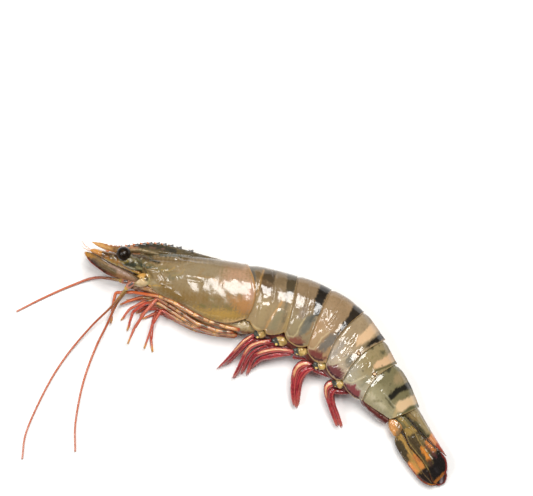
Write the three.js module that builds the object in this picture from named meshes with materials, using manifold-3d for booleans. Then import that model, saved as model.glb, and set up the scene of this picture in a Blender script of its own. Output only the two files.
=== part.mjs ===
// A whole raw tiger prawn, shell and head on, lying on its right side on a table.
// Millimetres, +Z up. X runs along the chord from the rostrum to the tail, +Y is the prawn's back, and the
// prawn's left flank looks up. The limbs are laid out from the centre of the left eye; the last lines
// move the group so that its origin is under the middle of the whole object, on the table.
import * as THREE from "three";
import { mergeVertices } from "three/addons/utils/BufferGeometryUtils.js";
import Module from "manifold-3d";

const wasm = await Module();
wasm.setup();

// ---- Driving dimensions ----
const headMid = 10.6; // height of the head's middle plane above the table
const shellGap = 0.6; // clearance along the back between one shell piece and the next
const eyeRadius = 2.8;
const eyeOut = 6.2; // from the head's middle plane to the centre of an eye
const flankPoints = 8; // section points from the back's ridge down to the edge of a shell
const shellEdgeAngle = THREE.MathUtils.degToRad(138); // where a shell ends, measured from its ridge
const bellyRise = 0.26; // how far the belly lies above the shell edges, as a share of the half height

// Carapace: the line of its back, the line of its lower edge, and its half widths, front to rear
const carapace = {
  back: [[8.2, 4.4], [15.9, 11.4], [22.5, 14.5], [32.2, 19.4], [45.6, 25.4]],
  edge: [[15.4, -5.0], [22, -5.6], [33, -4.5], [45.5, -3.1], [53, -0.7], [58.8, 5.2]],
  halfWidth: [5.4, 8.4, 10.2, 10.95, 10.95, 10.0],
  rearBulge: 3.4, // how far the rear edge bows back at mid flank
  stations: 10,
};

// Abdomen: the seven seams from the carapace's rear to the tail. Each has its back point, its edge point,
// its half width, the height of its middle plane and how far it bows back at mid flank
const seams = [
  { back: [46.2, 25.7], edge: [59.7, 5.5], halfWidth: 9.9, mid: 10.5, bulge: 3.4 },
  { back: [65.0, 32.5], edge: [73.7, 9.5], halfWidth: 9.7, mid: 9.6, bulge: 0.6 },
  { back: [80.0, 35.95], edge: [85.0, 9.8], halfWidth: 9.35, mid: 9.05, bulge: -0.8 },
  { back: [96.4, 36.0], edge: [95.7, 8.6], halfWidth: 8.75, mid: 8.45, bulge: -2.6 },
  { back: [110.2, 31.0], edge: [105.7, 6.85], halfWidth: 7.95, mid: 7.65, bulge: -2.6 },
  { back: [120.3, 25.4], edge: [116.9, 4.6], halfWidth: 6.95, mid: 6.65, bulge: -2.4 },
  { back: [137.9, 15.9], edge: [130.9, 4.3], halfWidth: 4.8, mid: 4.6, bulge: 0 },
];
// Where the back and the edge of each ring pass half way between its seams
const ringBacks = [[56.8, 29.9], [72.5, 35.0], [88.0, 37.0], [103.2, 33.9], [115.6, 28.1], [129.4, 21.6]];
const ringEdges = [[67.4, 5.2], [79.2, 7.7], [90.6, 7.4], [100.8, 6.0], [111.4, 4.4], [123.6, 3.7]];
const ringStations = 4;

// Rostrum: a toothed blade in the middle plane, from the crest of the carapace to its tip
const rostrum = {
  top: [
    [-13.9, -3.6], [-7.0, -0.5], [-1.8, 2.8], [2.9, 6.2],
    [6.2, 8.2], [15.2, 12.6], [27.0, 17.4], [33.0, 20.0],
  ],
  bottom: [
    [-13.7, -3.9], [-7.4, -3.0], [-1.4, -0.3], [5.0, 4.0],
    [10.0, 7.0], [17, 10.6], [28.0, 16.2], [33.0, 19.0],
  ],
  halfThickness: 0.8,
  teeth: [-4.9, -1.6, 0.9, 3.6, 7.2, 11.6, 17.4, 24.0], // where each tooth of the upper edge stands, along X
  toothLean: THREE.MathUtils.degToRad(62), // from upright towards the tip
  toothLength: 2.4,
};

// Walking legs 1 to 5 and the last mouth limb of both sides: the joints from the hip out, as
// [x, y, height], and half the thickness at the hip
const legs = {
  maxilliped_left: {
    joints: [[29, -7.0, 7.0], [21.5, -8.6, 6.9], [16.5, -11.4, 6.0], [13.4, -14.4, 4.6], [10.8, -18.2, 3.0]],
    hipRadius: 1.0,
  },
  leg_1_left: {
    joints: [
      [34, -6.6, 9.1], [26, -8.6, 9.1], [19.2, -11.6, 7.8],
      [15.4, -16.6, 5.0], [14.2, -20.4, 3.4], [14.4, -24.6, 1.6],
    ],
    hipRadius: 0.9,
  },
  leg_2_left: {
    joints: [
      [41, -7.2, 10.9], [34.4, -9.4, 11.9], [23.4, -10.0, 11.3],
      [18.4, -14.6, 8.2], [17.0, -20.0, 4.6], [18.9, -26.7, 2.2],
    ],
    hipRadius: 0.9,
  },
  leg_3_left: {
    joints: [
      [57.6, -0.6, 15.6], [46.2, -4.6, 15.8], [29.2, -6.0, 15.6], [20.8, -7.0, 13.4],
      [12.4, -11.4, 9.4], [5.9, -15.8, 6.2], [8.0, -21.6, 4.0], [11.3, -28.0, 1.8],
    ],
    hipRadius: 0.85,
  },
  leg_4_left: {
    joints: [
      [52, -4.4, 12.6], [42, -7.6, 13.6], [31, -7.9, 13.4], [22.6, -8.0, 13.0],
      [20.9, -16.0, 11.0], [21.0, -24.4, 6.8], [22.2, -31.2, 4.6],
    ],
    hipRadius: 0.9,
  },
  leg_5_left: {
    joints: [
      [58.4, -2.6, 10.6], [47.6, -8.6, 10.6], [38, -11.2, 9.6],
      [27.2, -11.4, 8.0], [26.6, -18.4, 6.4], [29.0, -28.9, 3.2],
    ],
    hipRadius: 0.9,
  },
  maxilliped_right: {
    joints: [[29, -6.6, 4.4], [20.5, -9.6, 4.2], [14.8, -13.4, 2.8], [11.4, -16.2, 1.4]],
    hipRadius: 0.9,
  },
  leg_1_right: {
    joints: [[34, -6.8, 5.5], [25, -9.6, 5.5], [19.2, -15.4, 2.2], [17.2, -21.0, 1.2]],
    hipRadius: 0.8,
  },
  leg_2_right: {
    joints: [[41, -7.4, 5.8], [32.6, -11.2, 5.2], [25, -12.8, 4.4], [22.8, -17.0, 2.4], [23.4, -24.0, 1.2]],
    hipRadius: 0.8,
  },
  leg_3_right: {
    joints: [
      [47, -6.4, 4.0], [37, -9.6, 2.5], [29, -10.4, 2.0],
      [24.0, -11.2, 1.5], [20.8, -13.6, 1.2], [19.4, -18.6, 1.2],
    ],
    hipRadius: 0.8,
  },
  leg_4_right: {
    joints: [
      [52, -4.6, 7.0], [43, -9.8, 7.4], [36, -12.3, 4.2],
      [31.6, -13.6, 3.8], [30.4, -19.0, 1.4], [32.0, -22.0, 1.2],
    ],
    hipRadius: 0.8,
  },
  leg_5_right: {
    joints: [
      [58.2, -2.8, 6.4], [50.6, -7.6, 4.4], [42.0, -11.6, 1.4], [29.0, -13.0, 1.4],
      [25.6, -18.0, 1.3], [29.8, -24.8, 1.2], [33.0, -28.2, 1.2],
    ],
    hipRadius: 0.8,
  },
};

// Swimmerets 1 to 5 of the upper side: the hip block's two ends, then the longer and the shorter branch
const swimmerets = [
  {
    hip: [[67.2, 5.0], [63.0, 1.6]],
    long: [[62.6, 0.2], [60.4, -8.4], [59.0, -18.4]],
    short: [[62.8, -0.4], [62.4, -8.2], [61.6, -15.2]],
  },
  {
    hip: [[77.4, 7.0], [71.2, 3.6]],
    long: [[70.2, 2.4], [64.6, -5.0], [65.4, -17.6]],
    short: [[70.6, 1.8], [67.6, -6.6], [68.4, -15.4]],
  },
  {
    hip: [[87.4, 7.6], [81.0, 5.4]],
    long: [[80.0, 4.2], [71.0, -2.4], [71.0, -12.8]],
    short: [[80.6, 3.6], [74.4, -3.0], [73.8, -10.8]],
  },
  {
    hip: [[97.6, 6.4], [91.2, 4.8]],
    long: [[90.4, 3.8], [86.6, -3.4], [93.6, -12.8]],
    short: [[91.0, 3.2], [90.0, -3.4], [96.2, -12.0]],
  },
  {
    hip: [[108.2, 4.4], [103.0, 3.2]],
    long: [[102.2, 2.2], [102.4, -2.6], [113.4, -9.8]],
    short: [[102.8, 1.8], [105.2, -2.4], [116.2, -8.6]],
  },
];
const swimmeret = {
  hipHalfWidth: 1.5,
  hipHalfHeight: 1.4,
  branchHalfWidth: 1.25,
  branchHalfThickness: 0.55,
  spread: 3.6, // from the middle plane out to each hip
  tipHeight: { left: 4.6, right: 1.1 },
  lowerShift: [1.6, -1.2], // how far the lower side's limbs lie from the upper side's in plan
};

// Long feelers as [x, y, height] from the head outwards
const feelers = {
  feeler_right: [
    [4.0, -10.6, 5.4], [-4.8, -15.8, 2.6], [-11.3, -23.8, 0.9],
    [-18.6, -35.4, 0.75], [-24.9, -46.5, 0.6],
  ],
  feeler_left: [
    [8.6, -12.6, 12.2], [7.9, -21.2, 8.6], [5.2, -34.0, 4.0], [3.4, -50.0, 1.0],
    [3.9, -66.0, 0.75], [7.2, -86.0, 0.7], [12.3, -97.0, 0.6],
  ],
  feeler_inner: [
    [10.4, -12.9, 10.8], [9.6, -20.0, 7.0], [10.6, -29.8, 3.2], [11.9, -41.0, 1.0],
    [15.8, -56.0, 0.75], [22.4, -71.4, 0.7], [29.2, -81.8, 0.6],
  ],
};
const feelerRadius = { base: 0.5, tip: 0.3 };
const feelerBases = {
  antenna_base_left: [[13.2, -5.6, 14.5], [10.8, -7.4, 14.0], [8.9, -11.4, 12.6]],
  antenna_base_right: [[12.6, -7.4, 6.9], [9.6, -8.6, 6.9], [5.0, -10.6, 6.2]],
};
const feelerBaseRadius = 1.5;

// Flat blades of the tail fan and the head: the run of the middle line as [x, y, height] and the half
// width at its start, middle and end
const blades = {
  antennal_scale_left: {
    run: [[10.6, -5.4, 17.0], [0.6, -8.2, 17.2], [-14.2, -8.6, 15.6]],
    halfWidth: [1.6, 2.9, 0.8],
  },
  antennal_scale_right: {
    run: [[10.6, -6.0, 4.6], [0.4, -9.2, 3.4], [-12.8, -9.8, 3.8]],
    halfWidth: [1.6, 2.9, 0.8],
  },
  uropod_outer_left: {
    run: [[139.6, 0.8, 6.4], [149.2, -3.6, 5.4], [160.2, -8.2, 4.0]],
    halfWidth: [1.7, 3.7, 1.4],
  },
  uropod_inner_left: {
    run: [[140.2, 5.4, 7.2], [151.4, 1.4, 6.6], [163.2, -1.8, 5.2]],
    halfWidth: [1.4, 3.5, 1.5],
  },
  uropod_outer_right: {
    run: [[139.6, 0.6, 1.7], [149.8, -3.8, 1.0], [161.4, -8.4, 0.8]],
    halfWidth: [1.7, 3.7, 1.4],
  },
  uropod_inner_right: {
    run: [[140.2, 5.2, 1.9], [152.2, 0.3, 2.3], [165.0, -5.0, 2.2]],
    halfWidth: [1.4, 3.5, 1.5],
  },
};
const bladeHalfThickness = 0.48;

// Tail spike, and the two knobs at the rear corner of the last ring that carry the blades of the fan
const telson = {
  run: [[136.8, 12.0, 4.5], [147.0, 8.8, 4.3], [153.6, 6.7, 4.2], [159.6, 4.9, 4.2]],
  halfWidth: [2.6, 2.1, 1.3, 0.25],
  halfThickness: [3.1, 2.4, 1.3, 0.3],
};
const tailKnob = {
  start: [133.3, 4.9],
  end: [138.2, 2.5],
  halfWidth: 1.9,
  halfHeight: 1.4,
  level: 4.4, // height of the tail's middle plane
  spread: 2.5, // from that plane out to the middle of each knob
};

// ---- Colours and finishes ----
const finish = (color, roughness) => new THREE.MeshStandardMaterial({ color, roughness, metalness: 0 });
const shellFinish = finish(0x8f8560, 0.25);
const rostrumFinish = finish(0x9a7440, 0.35);
const eyeFinish = finish(0x17110c, 0.12);
const stalkFinish = finish(0x5d6148, 0.35);
const legFinish = finish(0xb5502c, 0.3);
const feelerFinish = finish(0xb4643c, 0.4);
const swimmeretFinish = finish(0x9c3b3c, 0.35);
const fanFinish = finish(0x3c2c18, 0.28);
const fleshFinish = finish(0x8a6a45, 0.4);

// ---- Making solids ----
const curve = (points) =>
  new THREE.CatmullRomCurve3(points.map(([x, y, z = 0]) => new THREE.Vector3(x, y, z)), false, "centripetal");

// The value at share t of a row of evenly spaced values, on a smooth line through them
const along = (values, t) => curve(values.map((value, i) => [i, value])).getPoint(t).y;

// A point at share t of a run given by its start, middle and end
function throughThree([a, m, b], t) {
  const weights = [(1 - t) * (1 - 2 * t), 4 * t * (1 - t), t * (2 * t - 1)];
  return new THREE.Vector2(
    a[0] * weights[0] + m[0] * weights[1] + b[0] * weights[2],
    a[1] * weights[0] + m[1] * weights[1] + b[1] * weights[2],
  );
}

// A closed solid through loops of equally many points, with both ends capped by the flat shape given
function loft(loops, capShape) {
  const count = loops[0].length;
  const positions = loops.flat().flatMap((p) => [p.x, p.y, p.z]);
  const index = [];
  for (let k = 0; k + 1 < loops.length; k++)
    for (let i = 0; i < count; i++) {
      const a = k * count + i;
      const b = k * count + ((i + 1) % count);
      index.push(a, b, b + count, a, b + count, a + count);
    }
  const last = (loops.length - 1) * count;
  const capTurn = Math.sign(THREE.ShapeUtils.area(capShape));
  for (const face of THREE.ShapeUtils.triangulateShape(capShape, [])) {
    const faceTurn = Math.sign(THREE.ShapeUtils.area(face.map((i) => capShape[i])));
    const [a, b, c] = faceTurn === capTurn ? face : face.toReversed();
    index.push(c, b, a);
    index.push(last + a, last + b, last + c);
  }
  const geometry = new THREE.BufferGeometry();
  geometry.setAttribute("position", new THREE.Float32BufferAttribute(positions, 3));
  geometry.setIndex(index);
  return facingOut(geometry);
}

// The same geometry with its triangles turned, if need be, so that they face out
function facingOut(geometry) {
  const p = geometry.attributes.position;
  const index = geometry.index.array;
  const corner = [0, 1, 2].map(() => new THREE.Vector3());
  let volume = 0;
  for (let i = 0; i < index.length; i += 3) {
    corner.forEach((c, k) => c.fromBufferAttribute(p, index[i + k]));
    volume += corner[0].dot(corner[1].clone().cross(corner[2]));
  }
  for (let i = 0; volume < 0 && i < index.length; i += 3)
    [index[i + 1], index[i + 2]] = [index[i + 2], index[i + 1]];
  return geometry;
}

function solidOf(geometry) {
  const bare = geometry.index ? geometry.toNonIndexed() : geometry.clone();
  bare.deleteAttribute("normal");
  bare.deleteAttribute("uv");
  const merged = mergeVertices(bare, 1e-4);
  return new wasm.Manifold(
    new wasm.Mesh({
      numProp: 3,
      vertProperties: merged.attributes.position.array,
      triVerts: new Uint32Array(merged.index.array),
    }),
  );
}

function geometryOf(solid) {
  const mesh = solid.getMesh();
  const geometry = new THREE.BufferGeometry();
  geometry.setAttribute("position", new THREE.Float32BufferAttribute(mesh.vertProperties, 3));
  geometry.setIndex(Array.from(mesh.triVerts));
  geometry.computeVertexNormals();
  return geometry;
}

const joined = (geometries) =>
  geometryOf(geometries.map(solidOf).reduce((whole, piece) => whole.add(piece)));

// A shell's cross-section as points (out, up), from the ridge down the left side, across the belly
// and up the right side; up runs from 1 at the ridge to -1 at the shell's edges
function shellSection() {
  const low = Math.cos(shellEdgeAngle);
  const side = [];
  for (let i = 1; i <= flankPoints; i++) {
    const angle = (shellEdgeAngle * i) / flankPoints;
    const out = Math.sin(angle) * (1 - 0.16 * Math.cos(angle));
    side.push(new THREE.Vector2(out / 1.015, (2 * Math.cos(angle) - 1 - low) / (1 - low)));
  }
  const edgeOut = side.at(-1).x;
  const inner = new THREE.Vector2(edgeOut * 0.72, -1 + bellyRise * 0.8);
  const mirrored = (p) => new THREE.Vector2(-p.x, p.y);
  return [
    new THREE.Vector2(0, 1), ...side, inner, new THREE.Vector2(0, -1 + bellyRise),
    mirrored(inner), ...side.map(mirrored).reverse(),
  ];
}

// One loop of a shell: the section stood between a back point and an edge point, bowed rearwards
// by bulge at mid flank, and pressed flat where it meets the table
function shellLoop(section, back, edge, halfWidth, mid, bulge) {
  const centre = back.clone().add(edge).multiplyScalar(0.5);
  const up = back.clone().sub(edge).multiplyScalar(0.5);
  const rear = new THREE.Vector2(up.y, -up.x).normalize();
  return section.map(({ x: out, y: height }) => {
    const bow = bulge * (1 - height * height);
    return new THREE.Vector3(
      centre.x + up.x * height + rear.x * bow,
      centre.y + up.y * height + rear.y * bow,
      Math.max(0, mid + halfWidth * out),
    );
  });
}

// An oval loop round a run's point, upright in Z, with its broad side across the run in plan
function ovalLoop(point, across, halfWidth, halfThickness, sides) {
  return Array.from({ length: sides }, (_, i) => {
    const turn = (i / sides) * 2 * Math.PI;
    return point
      .clone()
      .addScaledVector(across, Math.cos(turn) * halfWidth)
      .add(new THREE.Vector3(0, 0, Math.sin(turn) * halfThickness));
  });
}

// A solid of oval section along a run; halfWidth and halfThickness are functions of the share along it
function ovalRun(points, halfWidth, halfThickness, steps, sides = 8) {
  const path = curve(points);
  const loops = [];
  for (let k = 0; k <= steps; k++) {
    const t = k / steps;
    const tangent = path.getTangent(t);
    const across = new THREE.Vector3(-tangent.y, tangent.x, 0).normalize();
    loops.push(ovalLoop(path.getPoint(t), across, halfWidth(t), halfThickness(t), sides));
  }
  const cap = ovalLoop(new THREE.Vector3(), new THREE.Vector3(1, 0, 0), 1, 1, sides);
  return loft(loops, cap.map((p) => new THREE.Vector2(p.x, p.z)));
}

// A round limb through its joints, with a slight knuckle at each and a finer tip
function jointedLimb(joints, radius, sides = 6) {
  const loops = [];
  joints.forEach((joint, k) => {
    const here = new THREE.Vector3(...joint);
    const before = new THREE.Vector3(...joints[Math.max(0, k - 1)]);
    const after = new THREE.Vector3(...joints[Math.min(joints.length - 1, k + 1)]);
    const direction = after.clone().sub(before).normalize();
    const side = new THREE.Vector3(-direction.y, direction.x, 0).normalize();
    const lift = side.clone().cross(direction).normalize();
    const size = radius * (1 - (0.45 * k) / (joints.length - 1)) * (k === joints.length - 1 ? 0.55 : 1);
    loops.push(
      Array.from({ length: sides }, (_, i) => {
        const turn = (i / sides) * 2 * Math.PI;
        return here
          .clone()
          .addScaledVector(side, Math.cos(turn) * size)
          .addScaledVector(lift, -Math.sin(turn) * size);
      }),
    );
  });
  const cap = Array.from({ length: sides }, (_, i) => {
    const turn = (i / sides) * 2 * Math.PI;
    return new THREE.Vector2(Math.cos(turn), Math.sin(turn));
  });
  return loft(loops, cap);
}

// ---- The prawn's pieces ----
const prawn = new THREE.Group();

function addNode(name, geometry, material) {
  const mesh = new THREE.Mesh(geometry, material);
  mesh.name = name;
  prawn.add(mesh);
}

// Rostrum blade and teeth, as solids that are joined to the carapace
function rostrumSolids() {
  const top = curve(rostrum.top);
  const bottom = curve(rostrum.bottom);
  const steps = 12;
  const loops = [];
  for (let k = 0; k <= steps; k++) {
    const a = top.getPoint(k / steps);
    const b = bottom.getPoint(k / steps);
    const thin = rostrum.halfThickness * (0.35 + 0.65 * Math.min(1, (3 * k) / steps));
    const middle = a.clone().add(b).multiplyScalar(0.5);
    loops.push([
      new THREE.Vector3(a.x, a.y, headMid),
      new THREE.Vector3(middle.x, middle.y, headMid + thin),
      new THREE.Vector3(b.x, b.y, headMid),
      new THREE.Vector3(middle.x, middle.y, headMid - thin),
    ]);
  }
  const diamond = [[0, 1], [1, 0], [0, -1], [-1, 0]].map(([x, y]) => new THREE.Vector2(x, y));
  return [loft(loops, diamond), ...rostrum.teeth.map((x) => toothAt(x, top))];
}

function toothAt(x, line) {
  const foot = line.getPoints(60).reduce((best, p) => (Math.abs(p.x - x) < Math.abs(best.x - x) ? p : best));
  const cone = new THREE.ConeGeometry(rostrum.halfThickness * 0.8, rostrum.toothLength, 5);
  cone.rotateZ(rostrum.toothLean);
  cone.translate(foot.x, foot.y, headMid);
  return cone;
}

function buildCarapace() {
  const section = shellSection();
  const back = curve(carapace.back);
  const edge = curve(carapace.edge);
  const loops = [];
  for (let k = 0; k <= carapace.stations; k++) {
    const t = k / carapace.stations;
    const ridge = new THREE.Vector2().copy(back.getPoint(t));
    const hem = new THREE.Vector2().copy(edge.getPoint(t));
    const bulge = carapace.rearBulge * t * t;
    loops.push(shellLoop(section, ridge, hem, along(carapace.halfWidth, t), headMid, bulge));
  }
  addNode("carapace", joined([loft(loops, section), ...rostrumSolids()]), shellFinish);
}

function buildAbdomen() {
  const section = shellSection();
  for (let number = 0; number + 1 < seams.length; number++) {
    const front = seams[number];
    const rear = seams[number + 1];
    const backRun = [front.back, ringBacks[number], rear.back];
    const edgeRun = [front.edge, ringEdges[number], rear.edge];
    const trim = shellGap / 2 / (rear.back[0] - front.back[0]);
    const edgeTrim = shellGap / 2 / (rear.edge[0] - front.edge[0]);
    const loops = [];
    for (let k = 0; k <= ringStations; k++) {
      const t = k / ringStations;
      const blend = (name) => THREE.MathUtils.lerp(front[name], rear[name], t);
      const back = throughThree(backRun, THREE.MathUtils.lerp(trim, 1 - trim, t));
      const edge = throughThree(edgeRun, THREE.MathUtils.lerp(edgeTrim, 1 - edgeTrim, t));
      loops.push(shellLoop(section, back, edge, blend("halfWidth"), blend("mid"), blend("bulge")));
    }
    addNode(`abdomen_${number + 1}`, loft(loops, section), shellFinish);
  }
}

function buildEyes() {
  for (const [side, sign] of [["left", 1], ["right", -1]]) {
    const eye = new THREE.SphereGeometry(eyeRadius, 14, 9);
    eye.translate(0, 0, headMid + sign * eyeOut);
    addNode(`eye_${side}`, eye, eyeFinish);
    const inner = [6.8, -0.2, headMid + sign * 2.8];
    const outer = [3.2, -0.6, headMid + sign * (eyeOut - 1.8)];
    const stalk = ovalRun([inner, outer], () => 1.6, () => 1.1, 2);
    addNode(`eyestalk_${side}`, stalk, stalkFinish);
  }
}

function buildFeelerBases() {
  for (const [side, sign] of [["left", 1], ["right", -1]]) {
    const level = headMid + sign * 2.5;
    const peduncle = ovalRun(
      [[7.2, -3.7, level], [0.0, -4.4, level], [-12.4, -6.7, level]],
      (t) => 1.35 - 0.7 * t, (t) => 1.5 - 0.8 * t, 5,
    );
    addNode(`antennule_${side}`, peduncle, rostrumFinish);
  }
  for (const [name, joints] of Object.entries(feelerBases))
    addNode(name, jointedLimb(joints, feelerBaseRadius, 8), fleshFinish);
}

function buildFeelers() {
  for (const [name, points] of Object.entries(feelers)) {
    const radius = (t) => THREE.MathUtils.lerp(feelerRadius.base, feelerRadius.tip, t);
    addNode(name, ovalRun(points, radius, radius, 22, 6), feelerFinish);
  }
}

function buildLegs() {
  for (const [name, { joints, hipRadius }] of Object.entries(legs))
    addNode(name, jointedLimb(joints, hipRadius), legFinish);
}

// The floor of the chest between the carapace's edges, which the legs hang from
function buildSternum() {
  const run = [[17.6, -5.6, headMid], [30, -4.7, headMid], [45, -3.2, headMid], [57.6, 2.6, headMid]];
  addNode("sternum", ovalRun(run, () => 1.0, (t) => 3.2 + 1.2 * Math.sin(Math.PI * t), 8), fleshFinish);
}

// One swimmeret: its hip block with the two branches, at one side of the middle plane
function swimmeretSolid(limb, side, sign, mid) {
  const { hipHalfWidth, hipHalfHeight, branchHalfWidth, branchHalfThickness } = swimmeret;
  const [dx, dy] = sign > 0 ? [0, 0] : swimmeret.lowerShift;
  const level = mid + sign * swimmeret.spread;
  const tip = swimmeret.tipHeight[side];
  const place = ([x, y], z) => [x + dx, y + dy, z];
  const hip = ovalRun(
    limb.hip.map((p) => place(p, level)),
    (t) => hipHalfWidth * (1.1 - 0.3 * t),
    () => hipHalfHeight,
    2,
  );
  const branch = (run, lift) => {
    const heights = [level, level + lift, (level + tip) / 2 + lift, tip + lift];
    const points = [limb.hip[1], ...run].map((p, i) => place(p, heights[i]));
    return ovalRun(points, (t) => branchHalfWidth * (1 - 0.75 * t * t), () => branchHalfThickness, 7, 6);
  };
  return joined([hip, branch(limb.long, 0.3), branch(limb.short, -0.3)]);
}

function buildSwimmerets() {
  swimmerets.forEach((limb, k) => {
    const mid = (seams[k].mid + seams[k + 1].mid) / 2;
    for (const [side, sign] of [["left", 1], ["right", -1]])
      addNode(`swimmeret_${k + 1}_${side}`, swimmeretSolid(limb, side, sign, mid), swimmeretFinish);
  });
}

function buildTail() {
  const halfWidth = (t) => along(telson.halfWidth, t);
  const halfThickness = (t) => along(telson.halfThickness, t);
  addNode("telson", ovalRun(telson.run, halfWidth, halfThickness, 8), fanFinish);
  buildTailKnobs();
}

function buildTailKnobs() {
  const { start, end, halfWidth, halfHeight, level, spread } = tailKnob;
  for (const [side, sign] of [["left", 1], ["right", -1]]) {
    const z = level + sign * spread;
    const knob = ovalRun([[...start, z], [...end, z]], () => halfWidth, () => halfHeight, 2);
    addNode(`uropod_base_${side}`, knob, fanFinish);
  }
}

function buildBlades() {
  for (const [name, { run, halfWidth }] of Object.entries(blades)) {
    const material = name.startsWith("uropod") ? fanFinish : rostrumFinish;
    addNode(name, ovalRun(run, (t) => along(halfWidth, t), () => bladeHalfThickness, 10), material);
  }
}

buildCarapace();
buildAbdomen();
buildEyes();
buildFeelerBases();
buildFeelers();
buildLegs();
buildSternum();
buildSwimmerets();
buildTail();
buildBlades();

// Origin: under the middle of the whole object, on the table
const extent = new THREE.Box3().setFromObject(prawn);
const middle = extent.getCenter(new THREE.Vector3());
prawn.position.set(-middle.x, -middle.y, -extent.min.z);

export default prawn;
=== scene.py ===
import math
import random

import bpy
import numpy as np
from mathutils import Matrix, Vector


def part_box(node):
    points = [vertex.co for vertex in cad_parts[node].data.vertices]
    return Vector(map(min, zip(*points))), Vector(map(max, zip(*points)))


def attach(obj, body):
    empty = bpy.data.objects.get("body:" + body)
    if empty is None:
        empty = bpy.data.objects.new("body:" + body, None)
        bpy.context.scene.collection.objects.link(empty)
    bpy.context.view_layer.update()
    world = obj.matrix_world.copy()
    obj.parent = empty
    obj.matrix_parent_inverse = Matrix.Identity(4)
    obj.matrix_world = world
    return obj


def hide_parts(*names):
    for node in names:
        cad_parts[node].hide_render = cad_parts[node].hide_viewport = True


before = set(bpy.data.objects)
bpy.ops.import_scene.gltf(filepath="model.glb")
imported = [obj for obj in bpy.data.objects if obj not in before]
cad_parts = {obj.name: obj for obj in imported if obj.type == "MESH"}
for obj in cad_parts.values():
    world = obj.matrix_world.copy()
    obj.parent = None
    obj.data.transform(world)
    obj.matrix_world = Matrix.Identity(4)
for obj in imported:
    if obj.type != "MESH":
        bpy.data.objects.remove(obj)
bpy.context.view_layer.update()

mm = 0.001
tableGap = 0.03                     # mm that everything keeps from the table
dimming = 0.9                       # share of every screen colour that is used
sides = ((1, "left", "Left"), (-1, "right", "Right"))
eyeLow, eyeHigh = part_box("eye_left")
eyeMid = (eyeLow + eyeHigh) / 2     # plan places are counted in mm from here, heights from the table
headPlane = 10.6                    # height of the head's middle plane
luck = random.Random(7)
view = {"wide": 533, "high": 496, "mmPerPixel": 0.42, "eyeAt": (124.3, 253.6), "roll": math.radians(34)}


def place(x, y, z):
    return Vector((eyeMid.x + x * mm, eyeMid.y + y * mm, z * mm))


def tone(red, green, blue):          # a colour as 0 to 255 screen values, made linear
    linear = [c / 255 / 12.92 if c < 10.3 else ((c / 255 + 0.055) / 1.055) ** 2.4 for c in (red, green, blue)]
    return (*(c * dimming for c in linear), 1)


def ease(x, low, high):              # 0 at low, 1 at high, smooth between
    t = np.clip((np.asarray(x, float) - low) / (high - low), 0, 1)
    return t * t * (3 - 2 * t)


def hump(x, centre, width):          # a rounded bump of height 1
    return np.exp(-(((np.asarray(x, float) - centre) / width) ** 2))


def smoothLine(points, t):           # a curve through evenly numbered points, t from 0 to 1 and a bit past
    p = np.asarray(points, float)
    p = p[:, None] if p.ndim == 1 else p
    last = len(p) - 1
    s = np.atleast_1d(np.asarray(t, float)) * last
    k = np.clip(np.floor(s).astype(int), 0, last - 1)
    f = (s - k)[:, None]
    p = np.vstack([2 * p[0] - p[1], p, 2 * p[last] - p[last - 1]])
    a, b, c, d = p[k], p[k + 1], p[k + 2], p[k + 3]
    return b + 0.5 * f * (c - a + f * (2 * a - 5 * b + 4 * c - d + f * (3 * (b - c) + d - a)))


def smoothValue(values, t):
    return smoothLine(values, t)[:, 0]


def deselectAll():
    if bpy.context.mode != "OBJECT":
        bpy.ops.object.mode_set(mode="OBJECT")
    bpy.ops.object.select_all(action="DESELECT")


def activate(piece):
    deselectAll()
    piece.select_set(True)
    bpy.context.view_layer.objects.active = piece


def coordinates(piece):
    co = np.empty(len(piece.data.vertices) * 3, dtype=np.float32)
    piece.data.vertices.foreach_get("co", co)
    return co.reshape(-1, 3).astype(float)


def setCoordinates(piece, co):
    co = np.array(co)
    co[:, 2] = np.maximum(co[:, 2], tableGap * mm)
    piece.data.vertices.foreach_set("co", np.ascontiguousarray(co, dtype=np.float32).ravel())
    piece.data.update()


def vertexNormals(piece):
    normals = np.empty(len(piece.data.vertices) * 3, dtype=np.float32)
    piece.data.vertex_normals.foreach_get("vector", normals)
    return normals.reshape(-1, 3).astype(float)


def mark(piece, name, values):       # numbers on the vertices, or one for all, for the materials to read
    layer = piece.data.attributes.get(name) or piece.data.attributes.new(name, "FLOAT", "POINT")
    layer.data.foreach_set("value", np.full(len(piece.data.vertices), values, dtype=np.float32))


def marked(piece, name):
    values = np.empty(len(piece.data.vertices), dtype=np.float32)
    piece.data.attributes[name].data.foreach_get("value", values)
    return values.astype(float)


def setPlaces(piece, x, y, z):        # each vertex from its plan place and height in mm
    setCoordinates(piece, np.column_stack([eyeMid.x + x * mm, eyeMid.y + y * mm, z * mm]))


def planOf(piece):                   # each vertex's plan place in mm from the eye
    return (coordinates(piece)[:, :2] - np.array([eyeMid.x, eyeMid.y])) / mm


def distanceTo(flat, points, filled=False):    # from plan places to a line, below 0 inside a filled outline
    points = np.asarray(points, float).reshape(-1, 2)
    points = np.vstack([points, points[0] if filled else points[-1] + 0.001])
    nearest = np.full(len(flat), 1e9)
    inside = np.zeros(len(flat), bool)
    for a, b in zip(points[:-1], points[1:]):
        run = b - a
        share = np.clip(((flat - a) @ run) / (run @ run), 0, 1)
        nearest = np.minimum(nearest, np.linalg.norm(flat - a - share[:, None] * run, axis=1))
        if filled and a[1] != b[1]:
            crosses = (a[1] > flat[:, 1]) != (b[1] > flat[:, 1])
            inside ^= crosses & (flat[:, 0] < a[0] + (flat[:, 1] - a[1]) * run[0] / run[1])
    return np.where(inside, -nearest, nearest)


def strokes(piece, lines):           # soft lines drawn on the plan: points, half width, strength
    flat = planOf(piece)
    value = np.zeros(len(flat))
    for points, wide, strength in lines:
        value = np.maximum(value, strength * (1 - ease(distanceTo(flat, points), wide * 0.3, wide * 1.7)))
    return value


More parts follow.
